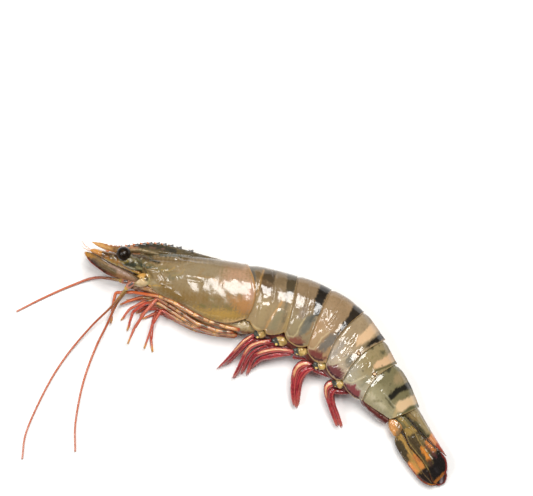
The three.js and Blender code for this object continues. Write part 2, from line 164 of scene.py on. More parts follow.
def stain(piece, patches, seed=1, ragged=1):
    # colours laid on the plan one over the other: points as x, y, x, y, half width (0 fills the
    # outline), softness, colour, strength
    flat = planOf(piece)
    jitter = ragged * (0.5 * unevenness(piece, 1.6, seed) + 0.35 * unevenness(piece, 0.75, seed + 50))
    colours = np.zeros((len(flat), 4))
    for points, wide, soft, shade, strength in patches:
        away = distanceTo(flat, points, wide == 0) - wide
        share = (strength * (1 - ease(away + jitter * soft, -soft, soft)))[:, None]
        colours = colours * (1 - share) + share * np.array(tone(*shade))
    layer = piece.data.attributes.get("stain") or piece.data.attributes.new("stain", "FLOAT_COLOR", "POINT")
    layer.data.foreach_set("color", colours.astype(np.float32).ravel())


def push(piece, amount):             # move the surface out along its normals by mm
    setCoordinates(piece, coordinates(piece) + vertexNormals(piece) * (np.asarray(amount) * mm)[:, None])


def joinAll(name, parts):
    deselectAll()
    for part in parts:
        part.select_set(True)
    bpy.context.view_layer.objects.active = parts[0]
    if len(parts) > 1:
        bpy.ops.object.join()
    whole = bpy.context.view_layer.objects.active
    whole.name = whole.data.name = name
    return whole


def tidyMesh(piece, distance=0.000008):    # close seams and turn the faces outwards
    activate(piece)
    bpy.ops.object.mode_set(mode="EDIT")
    bpy.ops.mesh.select_all(action="SELECT")
    bpy.ops.mesh.remove_doubles(threshold=distance)
    bpy.ops.mesh.fill_holes(sides=0)
    bpy.ops.mesh.select_all(action="SELECT")
    bpy.ops.mesh.normals_make_consistent(inside=False)
    bpy.ops.object.mode_set(mode="OBJECT")


def applyPlace(piece):
    activate(piece)
    bpy.ops.object.transform_apply(location=True, rotation=True, scale=True)


def ball(name, radius, spot, squash=None, segments=28, rings=18):
    deselectAll()
    bpy.ops.mesh.primitive_uv_sphere_add(
        segments=segments, ring_count=rings, radius=radius * mm, location=place(*spot),
    )
    made = bpy.context.active_object
    made.name = made.data.name = name
    if squash:
        bpy.ops.object.mode_set(mode="EDIT")
        bpy.ops.transform.resize(value=squash)
        bpy.ops.object.mode_set(mode="OBJECT")
    applyPlace(made)
    return made


def finished(piece, material, slot, *nodes):
    applyPlace(piece)
    piece.data.materials.clear()
    piece.data.materials.append(material)
    bpy.ops.object.shade_smooth()
    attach(piece, "root")
    if nodes:
        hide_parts(*nodes)


stageSizes = {"cameraHeight": 1.05, "focusHeight": 12, "floorSide": 6.0}
lamps = {     # right, up and height from the middle of the view in m, size in m, power, and colour
    "overhead": {"from": (0.13, 0.29, 0.94), "size": (0.42, 0.42), "watts": 9.9, "colour": (1, 0.985, 0.96)},
    "side": {"from": (-0.56, -0.02, 0.84), "size": (0.34, 0.34), "watts": 3.7, "colour": (1, 0.99, 0.97)},
}


def planPoint(right, up):            # from the middle of the view, in mm, to the plan
    dx = view["wide"] / 2 - view["eyeAt"][0]
    dy = view["high"] / 2 - view["eyeAt"][1]
    c, s = math.cos(view["roll"]), math.sin(view["roll"])
    k = view["mmPerPixel"]
    return k * (dx * c + dy * s) + right * c - up * s, k * (dx * s - dy * c) + right * s + up * c


def buildStage():
    focus = place(*planPoint(0, 0), stageSizes["focusHeight"])
    data = bpy.data.cameras.new("camera")
    camera = bpy.data.objects.new("camera", data)
    bpy.context.scene.collection.objects.link(camera)
    camera.location = focus + Vector((0, 0, stageSizes["cameraHeight"]))
    camera.rotation_euler = (0, 0, view["roll"])
    frameWidth = view["wide"] * view["mmPerPixel"] * mm
    data.lens = data.sensor_width * stageSizes["cameraHeight"] / frameWidth
    data.clip_start, data.clip_end = 0.01, 20
    bpy.context.scene.camera = camera

    deselectAll()
    bpy.ops.mesh.primitive_plane_add(size=stageSizes["floorSide"], location=(focus.x, focus.y, -0.0002))
    floor = bpy.context.active_object
    floor.name = "floor"
    board = bpy.data.materials.new("paleBoard")
    board.use_nodes = True
    shader = board.node_tree.nodes["Principled BSDF"]
    shader.inputs["Base Color"].default_value = (0.98, 0.975, 0.972, 1)
    shader.inputs["Roughness"].default_value = 0.9
    shader.inputs["Specular IOR Level"].default_value = 0.1
    floor.data.materials.append(board)

    for name, lamp in lamps.items():
        light = bpy.data.lights.new(name, "AREA")
        light.shape = "RECTANGLE"
        light.size, light.size_y = lamp["size"]
        light.energy = lamp["watts"]
        light.color = lamp["colour"]
        holder = bpy.data.objects.new(name, light)
        bpy.context.scene.collection.objects.link(holder)
        x, y = planPoint(lamp["from"][0] / mm, lamp["from"][1] / mm)
        holder.location = place(x, y, lamp["from"][2] / mm)
        holder.rotation_euler = (focus - holder.location).to_track_quat("-Z", "Y").to_euler()

    world = bpy.data.worlds.new("studio")
    world.use_nodes = True
    world.node_tree.nodes["Background"].inputs["Color"].default_value = (1, 0.995, 0.985, 1)
    world.node_tree.nodes["Background"].inputs["Strength"].default_value = 0.15
    bpy.context.scene.world = world
    bpy.context.scene.view_settings.view_transform = "Standard"


buildStage()
print("stage ready")


class Field:                         # a value in a material, so that sums can be written plainly
    def __init__(self, paint, socket):
        self.paint, self.socket = paint, socket

    def __add__(self, other): return self.paint.math("ADD", self, other)
    def __radd__(self, other): return self.paint.math("ADD", other, self)
    def __sub__(self, other): return self.paint.math("SUBTRACT", self, other)
    def __rsub__(self, other): return self.paint.math("SUBTRACT", other, self)
    def __mul__(self, other): return self.paint.math("MULTIPLY", self, other)
    def __abs__(self): return self.paint.math("ABSOLUTE", self)


class Paint:
    def __init__(self, name, finish, **changes):
        self.material = bpy.data.materials.new(name)
        self.material.use_nodes = True
        self.tree = self.material.node_tree
        self.shader = self.tree.nodes["Principled BSDF"]
        for key, value in {**finish, **changes}.items():
            self.shader.inputs[key.replace("_", " ")].default_value = value

    def node(self, kind, **settings):
        made = self.tree.nodes.new("ShaderNode" + kind)
        for key, value in settings.items():
            setattr(made, key, value)
        return made

    def feed(self, socket, value):   # a colour is given as its three screen values
        if isinstance(value, Field):
            self.tree.links.new(value.socket, socket)
        else:
            socket.default_value = tone(*value) if isinstance(value, tuple) else value

    def math(self, kind, *values):
        made = self.node("Math", operation=kind)
        for socket, value in zip(made.inputs, values):
            self.feed(socket, value)
        return Field(self, made.outputs[0])

    def number(self, name):          # the piece's own vertex numbers
        made = self.node("Attribute", attribute_name=name, attribute_type="GEOMETRY")
        return Field(self, made.outputs["Fac"])

    def spot(self, stretch=(1, 1, 1), turn=0, shift=0):
        made = self.node("Mapping", vector_type="TEXTURE")     # turned first, then stretched
        self.tree.links.new(self.node("TexCoord").outputs["Object"], made.inputs["Vector"])
        made.inputs["Scale"].default_value = tuple(1 / part for part in stretch)
        made.inputs["Rotation"].default_value = (0, 0, turn)
        made.inputs["Location"].default_value = (shift, shift, shift)
        return Field(self, made.outputs[0])

    def noise(self, grain, detail=3, rough=0.55, shift=0, stretch=(1, 1, 1), turn=0):
        made = self.node("TexNoise")   # grain is the size of one blot in mm
        self.feed(made.inputs["Vector"], self.spot(stretch, turn, shift))
        made.inputs["Scale"].default_value = 1 / (grain * mm)
        made.inputs["Detail"].default_value = detail
        made.inputs["Roughness"].default_value = rough
        return Field(self, made.outputs[0])

    def cells(self, grain, feature="F1", shift=0, stretch=(1, 1, 1)):
        made = self.node("TexVoronoi", feature=feature)
        self.feed(made.inputs["Vector"], self.spot(stretch, 0, shift))
        made.inputs["Scale"].default_value = 1 / (grain * mm)
        return Field(self, made.outputs["Distance"])

    def step(self, value, low, high):
        made = self.node("MapRange", interpolation_type="SMOOTHSTEP")
        self.feed(made.inputs["Value"], value)
        made.inputs["From Min"].default_value = low
        made.inputs["From Max"].default_value = high
        return Field(self, made.outputs["Result"])

    def band(self, value, low, high, soft):
        return self.step(value, low - soft, low + soft) * (1.0 - self.step(value, high - soft, high + soft))

    def mixed(self, under, over, mask):
        made = self.node("Mix", data_type="RGBA", clamp_factor=True)
        self.feed(made.inputs["Factor"], mask)
        self.feed(made.inputs["A"], under)
        self.feed(made.inputs["B"], over)
        return Field(self, made.outputs["Result"])

    def coats(self, colour, *coats):  # each coat is (colour, mask)
        for over, mask in coats:
            colour = self.mixed(colour, over, mask)
        return colour

    def ramp(self, value, *stops):   # stops are (place, colour)
        made = self.node("ValToRGB")
        self.feed(made.inputs["Fac"], value)
        while len(made.color_ramp.elements) < len(stops):
            made.color_ramp.elements.new(0.5)
        for element, (where, colour) in zip(made.color_ramp.elements, stops):
            element.position, element.color = where, tone(*colour)
        return Field(self, made.outputs["Color"])

    def stained(self, under):        # the colours laid on by stain
        made = self.node("Attribute", attribute_name="stain", attribute_type="GEOMETRY")
        bare = self.mixed(under, (0, 0, 0), Field(self, made.outputs["Alpha"]))
        both = self.node("Mix", data_type="RGBA", blend_type="ADD")
        both.inputs["Factor"].default_value = 1.0
        self.feed(both.inputs["A"], bare)
        self.tree.links.new(made.outputs["Color"], both.inputs["B"])
        return Field(self, both.outputs["Result"])

    def done(self, colour, relief=None, depth=0.1, roughness=None):
        self.feed(self.shader.inputs["Base Color"], colour)
        if roughness is not None:
            self.feed(self.shader.inputs["Roughness"], roughness)
        if relief is not None:
            bump = self.node("Bump")
            bump.inputs["Distance"].default_value = depth * mm
            bump.inputs["Strength"].default_value = 1.0
            self.feed(bump.inputs["Height"], relief)
            self.tree.links.new(bump.outputs[0], self.shader.inputs["Normal"])
            self.tree.links.new(bump.outputs[0], self.shader.inputs["Coat Normal"])
        return self.material


wetShell = {
    "Roughness": 0.45, "Specular_IOR_Level": 0.08, "Coat_Weight": 1, "Coat_Roughness": 0.06, "Coat_IOR": 1.5,
    "Subsurface_Weight": 0.12, "Subsurface_Radius": (0.0016, 0.0011, 0.0007), "Subsurface_Scale": 1,
}
section = {"hemOut": 0.74, "hemAt": 0.8, "upperShare": 0.42, "bellyRise": 0.24}


def shellSection(w, peak, corner):   # w from 0 at the ridge, 0.8 at the hem, 1 at the belly's middle
    upper, hem, power = section["upperShare"], section["hemAt"], 2 / corner
    turn = np.clip(w / upper, 0, 1) * math.pi / 2
    f = np.clip((w - upper) / (hem - upper), 0, 1)
    out = np.where(w <= upper, np.sin(turn) ** power, 1 - (1 - section["hemOut"]) * f ** 2.2)
    rounded = peak + (1 - peak) * np.clip(np.cos(turn), 0, 1) ** power
    height = np.where(w <= upper, rounded, peak - (1 + peak) * f)
    rise, edge = -1 + section["bellyRise"], section["hemOut"]
    roll = smoothLine([
        (edge, -1), (edge - 0.03, -1.012), (edge - 0.06, -0.985), (edge - 0.1, rise * 0.97), (0.3, rise), (0, rise),
    ], np.clip((w - hem) / (1 - hem), 0, 1))
    return np.where(w > hem, roll[:, 0], out), np.where(w > hem, roll[:, 1], height)


def gridSheet(name, along, around):  # a flat grid whose places are then set from its two shares
    deselectAll()
    bpy.ops.mesh.primitive_grid_add(x_subdivisions=along, y_subdivisions=around, size=2)
    sheet = bpy.context.active_object
    sheet.name = sheet.data.name = name
    flat = coordinates(sheet)
    return sheet, (flat[:, 0] + 1) / 2, (flat[:, 1] + 1) / 2


def bentShell(name, along, around, spotOf):
    sheet, u, v = gridSheet(name, along, around)
    w = np.abs(v - 0.5) * 2
    side = np.where(v >= 0.5, 1, -1)
    x, y, out, mid = spotOf(u, w)
    setPlaces(sheet, x, y, mid + side * out)
    mark(sheet, "along", u)
    mark(sheet, "around", w)
    tidyMesh(sheet)
    return sheet


def ringSpot(back, hem, halfWidth, mid, bulge, peak, w, inset, corner=2.35):
    centre, up = (back + hem) / 2, (back - hem) / 2
    length = np.linalg.norm(up, axis=1)
    rear = np.column_stack([up[:, 1], -up[:, 0]]) / length[:, None]
    out, height = shellSection(w, peak, corner)
    up = up * (1 - inset / length)[:, None]
    spot = centre + up * height[:, None] + rear * (bulge * (1 - height * height))[:, None]
    return spot[:, 0], spot[:, 1], (halfWidth - inset) * out, mid


def unevenness(piece, grain, seed):  # slow random waves from a few crossing sines, about -1 to 1
    dice = random.Random(seed)
    spot = coordinates(piece) / mm
    total = np.zeros(len(spot))
    for k in range(9):
        heading = np.array([dice.gauss(0, 1), dice.gauss(0, 1), dice.gauss(0, 0.7)])
        heading *= 2 * math.pi / (grain * dice.uniform(0.6, 1.7)) / np.linalg.norm(heading)
        total += np.sin(spot @ heading + dice.uniform(0, 6.28))
    return total / 4.5


carapace = {
    "back": [(8.2, 4.6), (15.9, 11.2), (22.5, 14.3), (32.2, 19.2), (45.6, 25.3)],
    "hem": [(15.8, -5.4), (22, -5.6), (33, -4.3), (44.8, -2.6), (52.6, 0.6), (58, 6.6)],
    "halfWidth": [5.6, 8.4, 10.2, 10.9, 10.9, 10.2], "peak": [-0.2, -0.5, -0.6, -0.42, -0.26],
    "front": [(8, 4.6), (8.3, 3.6), (8.8, 2.4), (9, 1), (10.3, 0), (12, -0.5), (13.6, -1.2), (14.5, -3.6),
              (15.6, -5.4)],
    "rearBulge": 3.4, "turnIn": 0.94, "lip": 0.45, "reach": 0.1,
    "grooves": [
        ((16.5, 2.1, 18.7, 1.3, 20.6, 0.4, 22, -0.3), 0.32, 0.6), ((9.4, 0.2, 12.2, 1, 15.4, 2.6), 0.4, 0.45),
        ((24.3, 4.6, 26.1, 4.8, 28.7, 6.2, 33.3, 8.5), 0.35, 0.5),
        ((14.4, 4.4, 21.1, 7.1, 23.3, 9.1, 25.6, 12.2), 0.45, 0.35),
        ((16.5, -5, 17.9, -3.8, 19.6, -2.7, 22.6, -1.4), 0.3, 0.35),
        ((5.8, 3, 12.4, 5.5, 19.6, 9.6, 23.4, 13), 0.5, 0.55),
        ((18.1, 3.4, 20.7, 5.2), 0.3, 0.4), ((10.5, 2.4, 14, 3.4), 0.35, 0.3),
        ((13.4, -0.4, 14.4, 0.4, 16.2, 1), 0.35, 0.35),
    ],
    "swells": [
        ((14.8, -2.2, 16, -1.9, 17.4, -1.7), 1, 0.6), ((17.5, 2.4, 19.6, 1.6, 21.6, 0.7), 0.5, 0.4),
        ((26, 7, 33, 10.2), 0.8, 0.35), ((12.6, 2.6, 15, 5), 0.8, 0.3), ((20, -1.6, 25, -0.6), 0.8, 0.25),
        ((19, 6, 21.5, 8), 1.1, 0.3), ((8.4, 6.3, 13, 8, 19, 11), 0.6, 0.4), ((28, 8.2, 32, 9.4, 36, 12), 1, 0.2),
    ],
    "stains": [   # outline or line as x, y, x, y; half width (0 fills), softness, colour, strength
        ((21, 7.4, 24.5, 11.4, 30, 16, 36.2, 19.7, 40.8, 18, 38.6, 13.6, 32.3, 8.9, 25.9, 5.4), 0, 3, (150, 134, 106),
         0.65), ((18, 0, 26.7, -0.9, 37.7, 4.7, 43.8, 7.1, 39.7, 1.7, 31, -3, 22, -4), 0, 2.6, (128, 97, 42), 0.85),
        ((36.9, -1.9, 41.3, -0.6, 46.4, 3.3, 51.4, 6.2, 56.7, 6.7, 54.1, 2.4, 48.2, -0.9, 42.5, -2.6), 0, 2,
         (188, 148, 72), 0.8),
        ((46.2, 9.6, 53.7, 14.6, 57.4, 10.6, 55.6, 6.8, 50.2, 7.6), 0, 2.2, (184, 126, 66), 0.65),
        ((39.6, 19.9, 45.5, 24.4, 50.6, 20.6, 46.2, 16.6, 41, 13), 0, 4.5, (204, 158, 130), 0.6),
        ((50.5, 20.2, 53.6, 17.6, 56, 14.6, 52, 13), 0, 1.6, (196, 150, 128), 0.6),
        ((2.6, 2.7, 9.8, 7.3, 17.7, 12.1, 28.6, 17.6, 32.4, 18.6, 23.2, 13.5, 16.9, 10, 10.6, 6.6), 0, 0.8,
         (90, 84, 62), 0.8), ((13, 8.1, 15.5, 9.3, 18.3, 11.4, 21, 12.6), 0.55, 0.6, (66, 70, 58), 0.75),
        ((5.8, 3.1, 12.4, 5.6, 19.2, 9.4, 23.2, 12.6), 0.9, 1, (92, 70, 38), 0.65),
        ((23.2, 13.1, 30, 16.6, 37, 19.6, 44, 22.8), 0.7, 1.4, (92, 72, 44), 0.55),
        ((8.6, 4, 12, 5.4, 16.5, 7, 13, 3.6, 9.4, 2.4), 0, 0.9, (128, 100, 60), 0.7),
        ((15.5, 3, 21, 5.2, 24.5, 5), 1, 1.1, (118, 112, 80), 0.5), ((21.4, 2.4, 22.6, 3), 0.9, 1, (96, 98, 76), 0.55),
        ((8.8, 3.5, 10.3, 3.9, 12.1, 4.6, 14.1, 5.1), 0.62, 0.5, (44, 42, 26), 0.9),
        ((9.1, 0.8, 10.5, 0.6, 11.5, 0.7, 12.6, 1.7), 0.5, 0.4, (52, 60, 34), 0.9),
        ((10.4, 2, 12.4, 2.6, 14.6, 2.6), 0.5, 0.5, (84, 82, 46), 0.6),
        ((12.2, -0.9, 13.9, -1.8, 14.8, -3.6, 15.8, -5.1, 18.2, -5.8), 0.34, 0.3, (206, 168, 96), 0.8),
        ((15.4, -3.8, 16.8, -3, 18.6, -3.2), 1, 0.9, (196, 172, 124), 0.55),
        ((16.5, -5, 17.9, -3.9, 19.3, -2.9, 20.8, -1.9), 0.2, 0.35, (200, 152, 62), 0.75),
        ((20.9, -1.9), 0.3, 0.3, (62, 66, 44), 0.9), ((17, 3.4, 19.8, 4.6, 21, 7.2), 0.2, 0.3, (188, 150, 76), 0.6),
        ((22, 3.6, 25, 6.8, 24.6, 9), 0.2, 0.3, (176, 146, 84), 0.5),
        ((31.2, 12.9, 31.2, 10.6, 32, 8.6), 0.45, 0.8, (150, 116, 66), 0.5),
        ((23.5, 9, 23.1, 7, 20.9, 5.1), 0.3, 0.5, (146, 114, 66), 0.5),
        ((30, 8.6, 33, 10.6, 37, 12.6, 42, 13), 0.22, 0.4, (186, 140, 84), 0.4),
        ((37.8, 12.2), 0.35, 0.3, (204, 142, 66), 0.7), ((38.9, 0.5, 40.5, 0.7), 0.5, 0.7, (104, 100, 54), 0.7),
        ((43.1, 3.1, 44.6, 3.4), 0.6, 0.9, (112, 104, 56), 0.5), ((48.2, 5.8, 50, 5.7), 0.6, 0.9, (110, 102, 58), 0.5),
        ((51, 0.4, 54.5, 2.6, 56.8, 5.4), 0.7, 1, (208, 172, 118), 0.8),
        ((40.3, 4.7, 41.6, 5.2), 0.6, 0.8, (118, 112, 72), 0.55),
        ((34.1, -2.9, 39.4, -2.2, 44.3, -1, 48.2, 0.8), 0.22, 0.4, (200, 168, 108), 0.55),
    ],
}


def carapaceSpot(u, w):
    fold = carapace["turnIn"]
    f = np.clip((u - fold) / (1 - fold), 0, 1)   # past the fold the sheet turns back in under its rear rim
    t = np.where(u <= fold, u / fold, 1 - carapace["reach"] * np.clip(f - 0.25, 0, 1))
    inset = carapace["lip"] * np.clip(f / 0.25, 0, 1) * 1.6
    back, hem = smoothLine(carapace["back"], t), smoothLine(carapace["hem"], t)
    half, peak = smoothValue(carapace["halfWidth"], t), smoothValue(carapace["peak"], t)
    x, y, out, mid = ringSpot(back, hem, half, headPlane, carapace["rearBulge"] * t * t, peak, w, inset)
    first = np.zeros_like(t)
    x0, y0, _, _ = ringSpot(
        smoothLine(carapace["back"], first), smoothLine(carapace["hem"], first), half, headPlane, first, peak, w, first,
    )
    front = smoothLine(carapace["front"], np.clip(w / 0.8, 0, 1))
    pull = np.exp(-((t / 0.13) ** 2)) * (w <= 0.8) + np.exp(-((t / 0.13) ** 2)) * 0.4 * (w > 0.8)
    return x + (front[:, 0] - x0) * pull, y + (front[:, 1] - y0) * pull, out, mid


def buildCarapace():
    shell = bentShell("carapaceShell", 210, 250, carapaceSpot)
    u, w = marked(shell, "along"), marked(shell, "around")
    t = u / carapace["turnIn"]
    outside = (w < 0.8) * (u < carapace["turnIn"])
    amount = 0.3 * hump(w, 0.16, 0.018) * ease(t, 0.85, 0.4) * outside      # keel beside the crest
    amount -= 0.3 * hump(w, 0.125, 0.02) * ease(t, 0.85, 0.4) * outside
    amount += 0.16 * hump(w, 0.785, 0.012) + 0.16 * hump(t, 0.985, 0.012) * outside
    amount -= 0.42 * strokes(shell, carapace["grooves"]) * outside
    amount += 0.7 * strokes(shell, carapace["swells"]) * outside
    amount += (0.06 * unevenness(shell, 5, 3) + 0.02 * unevenness(shell, 1.9, 4)) * outside
    push(shell, amount)
    stain(shell, carapace["stains"], 8)
    return shell


def shellGround(paint, tones):       # the ground colour shared by head and tail shells
    cloud = paint.noise(7, 3, 0.6, 1.3)
    fine = paint.noise(1.4, 4, 0.65, 4.1)
    masks = paint.step(cloud, 0.35, 0.65), paint.step(fine, 0.5, 0.75) * 0.45
    return paint.coats(tones[0], *zip(tones[1:], masks)), cloud, fine


def paintedBackShade(paint, w):             # painted shade: the shells are darkened towards the ridge of the back
    return (50, 38, 22), (1.0 - paint.step(w, 0, 0.14)) * 0.45


def shellGrain(paint, wrinkle=0.5, fine=0.1):    # slow waves with a few sharp creases, as wet shell has
    crease = abs(paint.noise(2.6, 2, 0.5, 7) - 0.5)
    return paint.noise(3.2, 3, 0.5, 2) + crease * (-wrinkle) + paint.noise(0.5, 2, 0.5, 9) * fine


def carapacePaint():
    paint = Paint("carapaceShell", wetShell, Coat_Roughness=0.15)
    t, w = paint.number("along") * (1 / carapace["turnIn"]), paint.number("around")
    colour, cloud, fine = shellGround(paint, [(136, 114, 76), (148, 126, 90), (118, 96, 62)])
    wander = (cloud - 0.5) * 0.2
    rear = paint.step(t + wander, 0.84, 0.98) * paint.band(w, 0.3, 0.66, 0.08)
    colour = paint.mixed(colour, (192, 146, 112), rear * 0.5)
    veins = 1.0 - paint.step(paint.cells(9, "DISTANCE_TO_EDGE", 2.2, (1, 1.6, 1)), 0, 0.03)
    veins = veins * paint.band(w, 0.24, 0.72, 0.06) * (1.0 - paint.step(t, 0.55, 0.8))
    colour = paint.coats(colour, ((186, 152, 88), veins * 0.14), ((112, 96, 64), paint.step(fine, 0.56, 0.7) * 0.25))
    edge = paint.math("MAXIMUM", paint.step(w, 0.779, 0.79), paint.step(t, 0.982, 0.992))
    inside = paint.math("MAXIMUM", paint.step(w, 0.84, 0.87), paint.step(t, 1.01, 1.03))
    specks = 1.0 - paint.step(paint.cells(0.9, "F1", 5), 0.12, 0.2)
    # painted shade darkens the carapace towards the ridge of the back
    colour = paint.coats(
        paint.stained(colour), paintedBackShade(paint, w), ((176, 128, 70), edge * 0.7),
        ((110, 62, 42), inside * 0.85), ((84, 72, 50), specks * 0.25),
    )
    return paint.done(colour, shellGrain(paint, 0.25, 0.08), 0.1, 0.32 + fine * 0.16)


finished(buildCarapace(), carapacePaint(), "carapace_shell", "carapace")
print("head shell done")


abdomen = {
    "backs": [(46.2, 25.7), (65, 32.5), (80, 35.95), (96.4, 36), (110.2, 31), (120.3, 25.4), (137.9, 15.9)],
    "hems": [(59.9, 5.6), (73.8, 10.4), (85, 11), (95.2, 9.6), (105.2, 7.5), (116.6, 5), (130.9, 4.9)],
    "backMids": [(56.8, 29.9), (72.5, 35), (88, 37), (103.2, 33.9), (115.6, 28.1), (129.4, 21.6)],
    "hemMids": [(67.4, 5.3), (79.9, 8.2), (90.3, 7.7), (100.6, 6.2), (111.1, 4.4), (123.8, 4.8)],
    "halfWidths": [9.9, 9.7, 9.35, 8.8, 8.2, 7.4, 5.5],
    "mids": [10.5, 9.6, 9.05, 8.7, 8.1, 7.2, 5.2],
    "bulges": [3.4, 0.6, -0.8, -2.6, -2.6, -2.4, 0],
    "peaks": [-0.12, -0.1, -0.12, -0.3, -0.55, -0.6, -0.55], "corners": [2.35, 2.35, 2.35, 2.15, 2.05, 2, 2],
    "swell": [0.25, 0.25, 0.28, 0.2, 0.12, 0.12], "flare": [0, 0, 0.75, 1.25, 1.35, 1.2], "lead": 0.12, "turnIn": 0.93,
    "lip": 0.35, "overhang": 0.055,
}
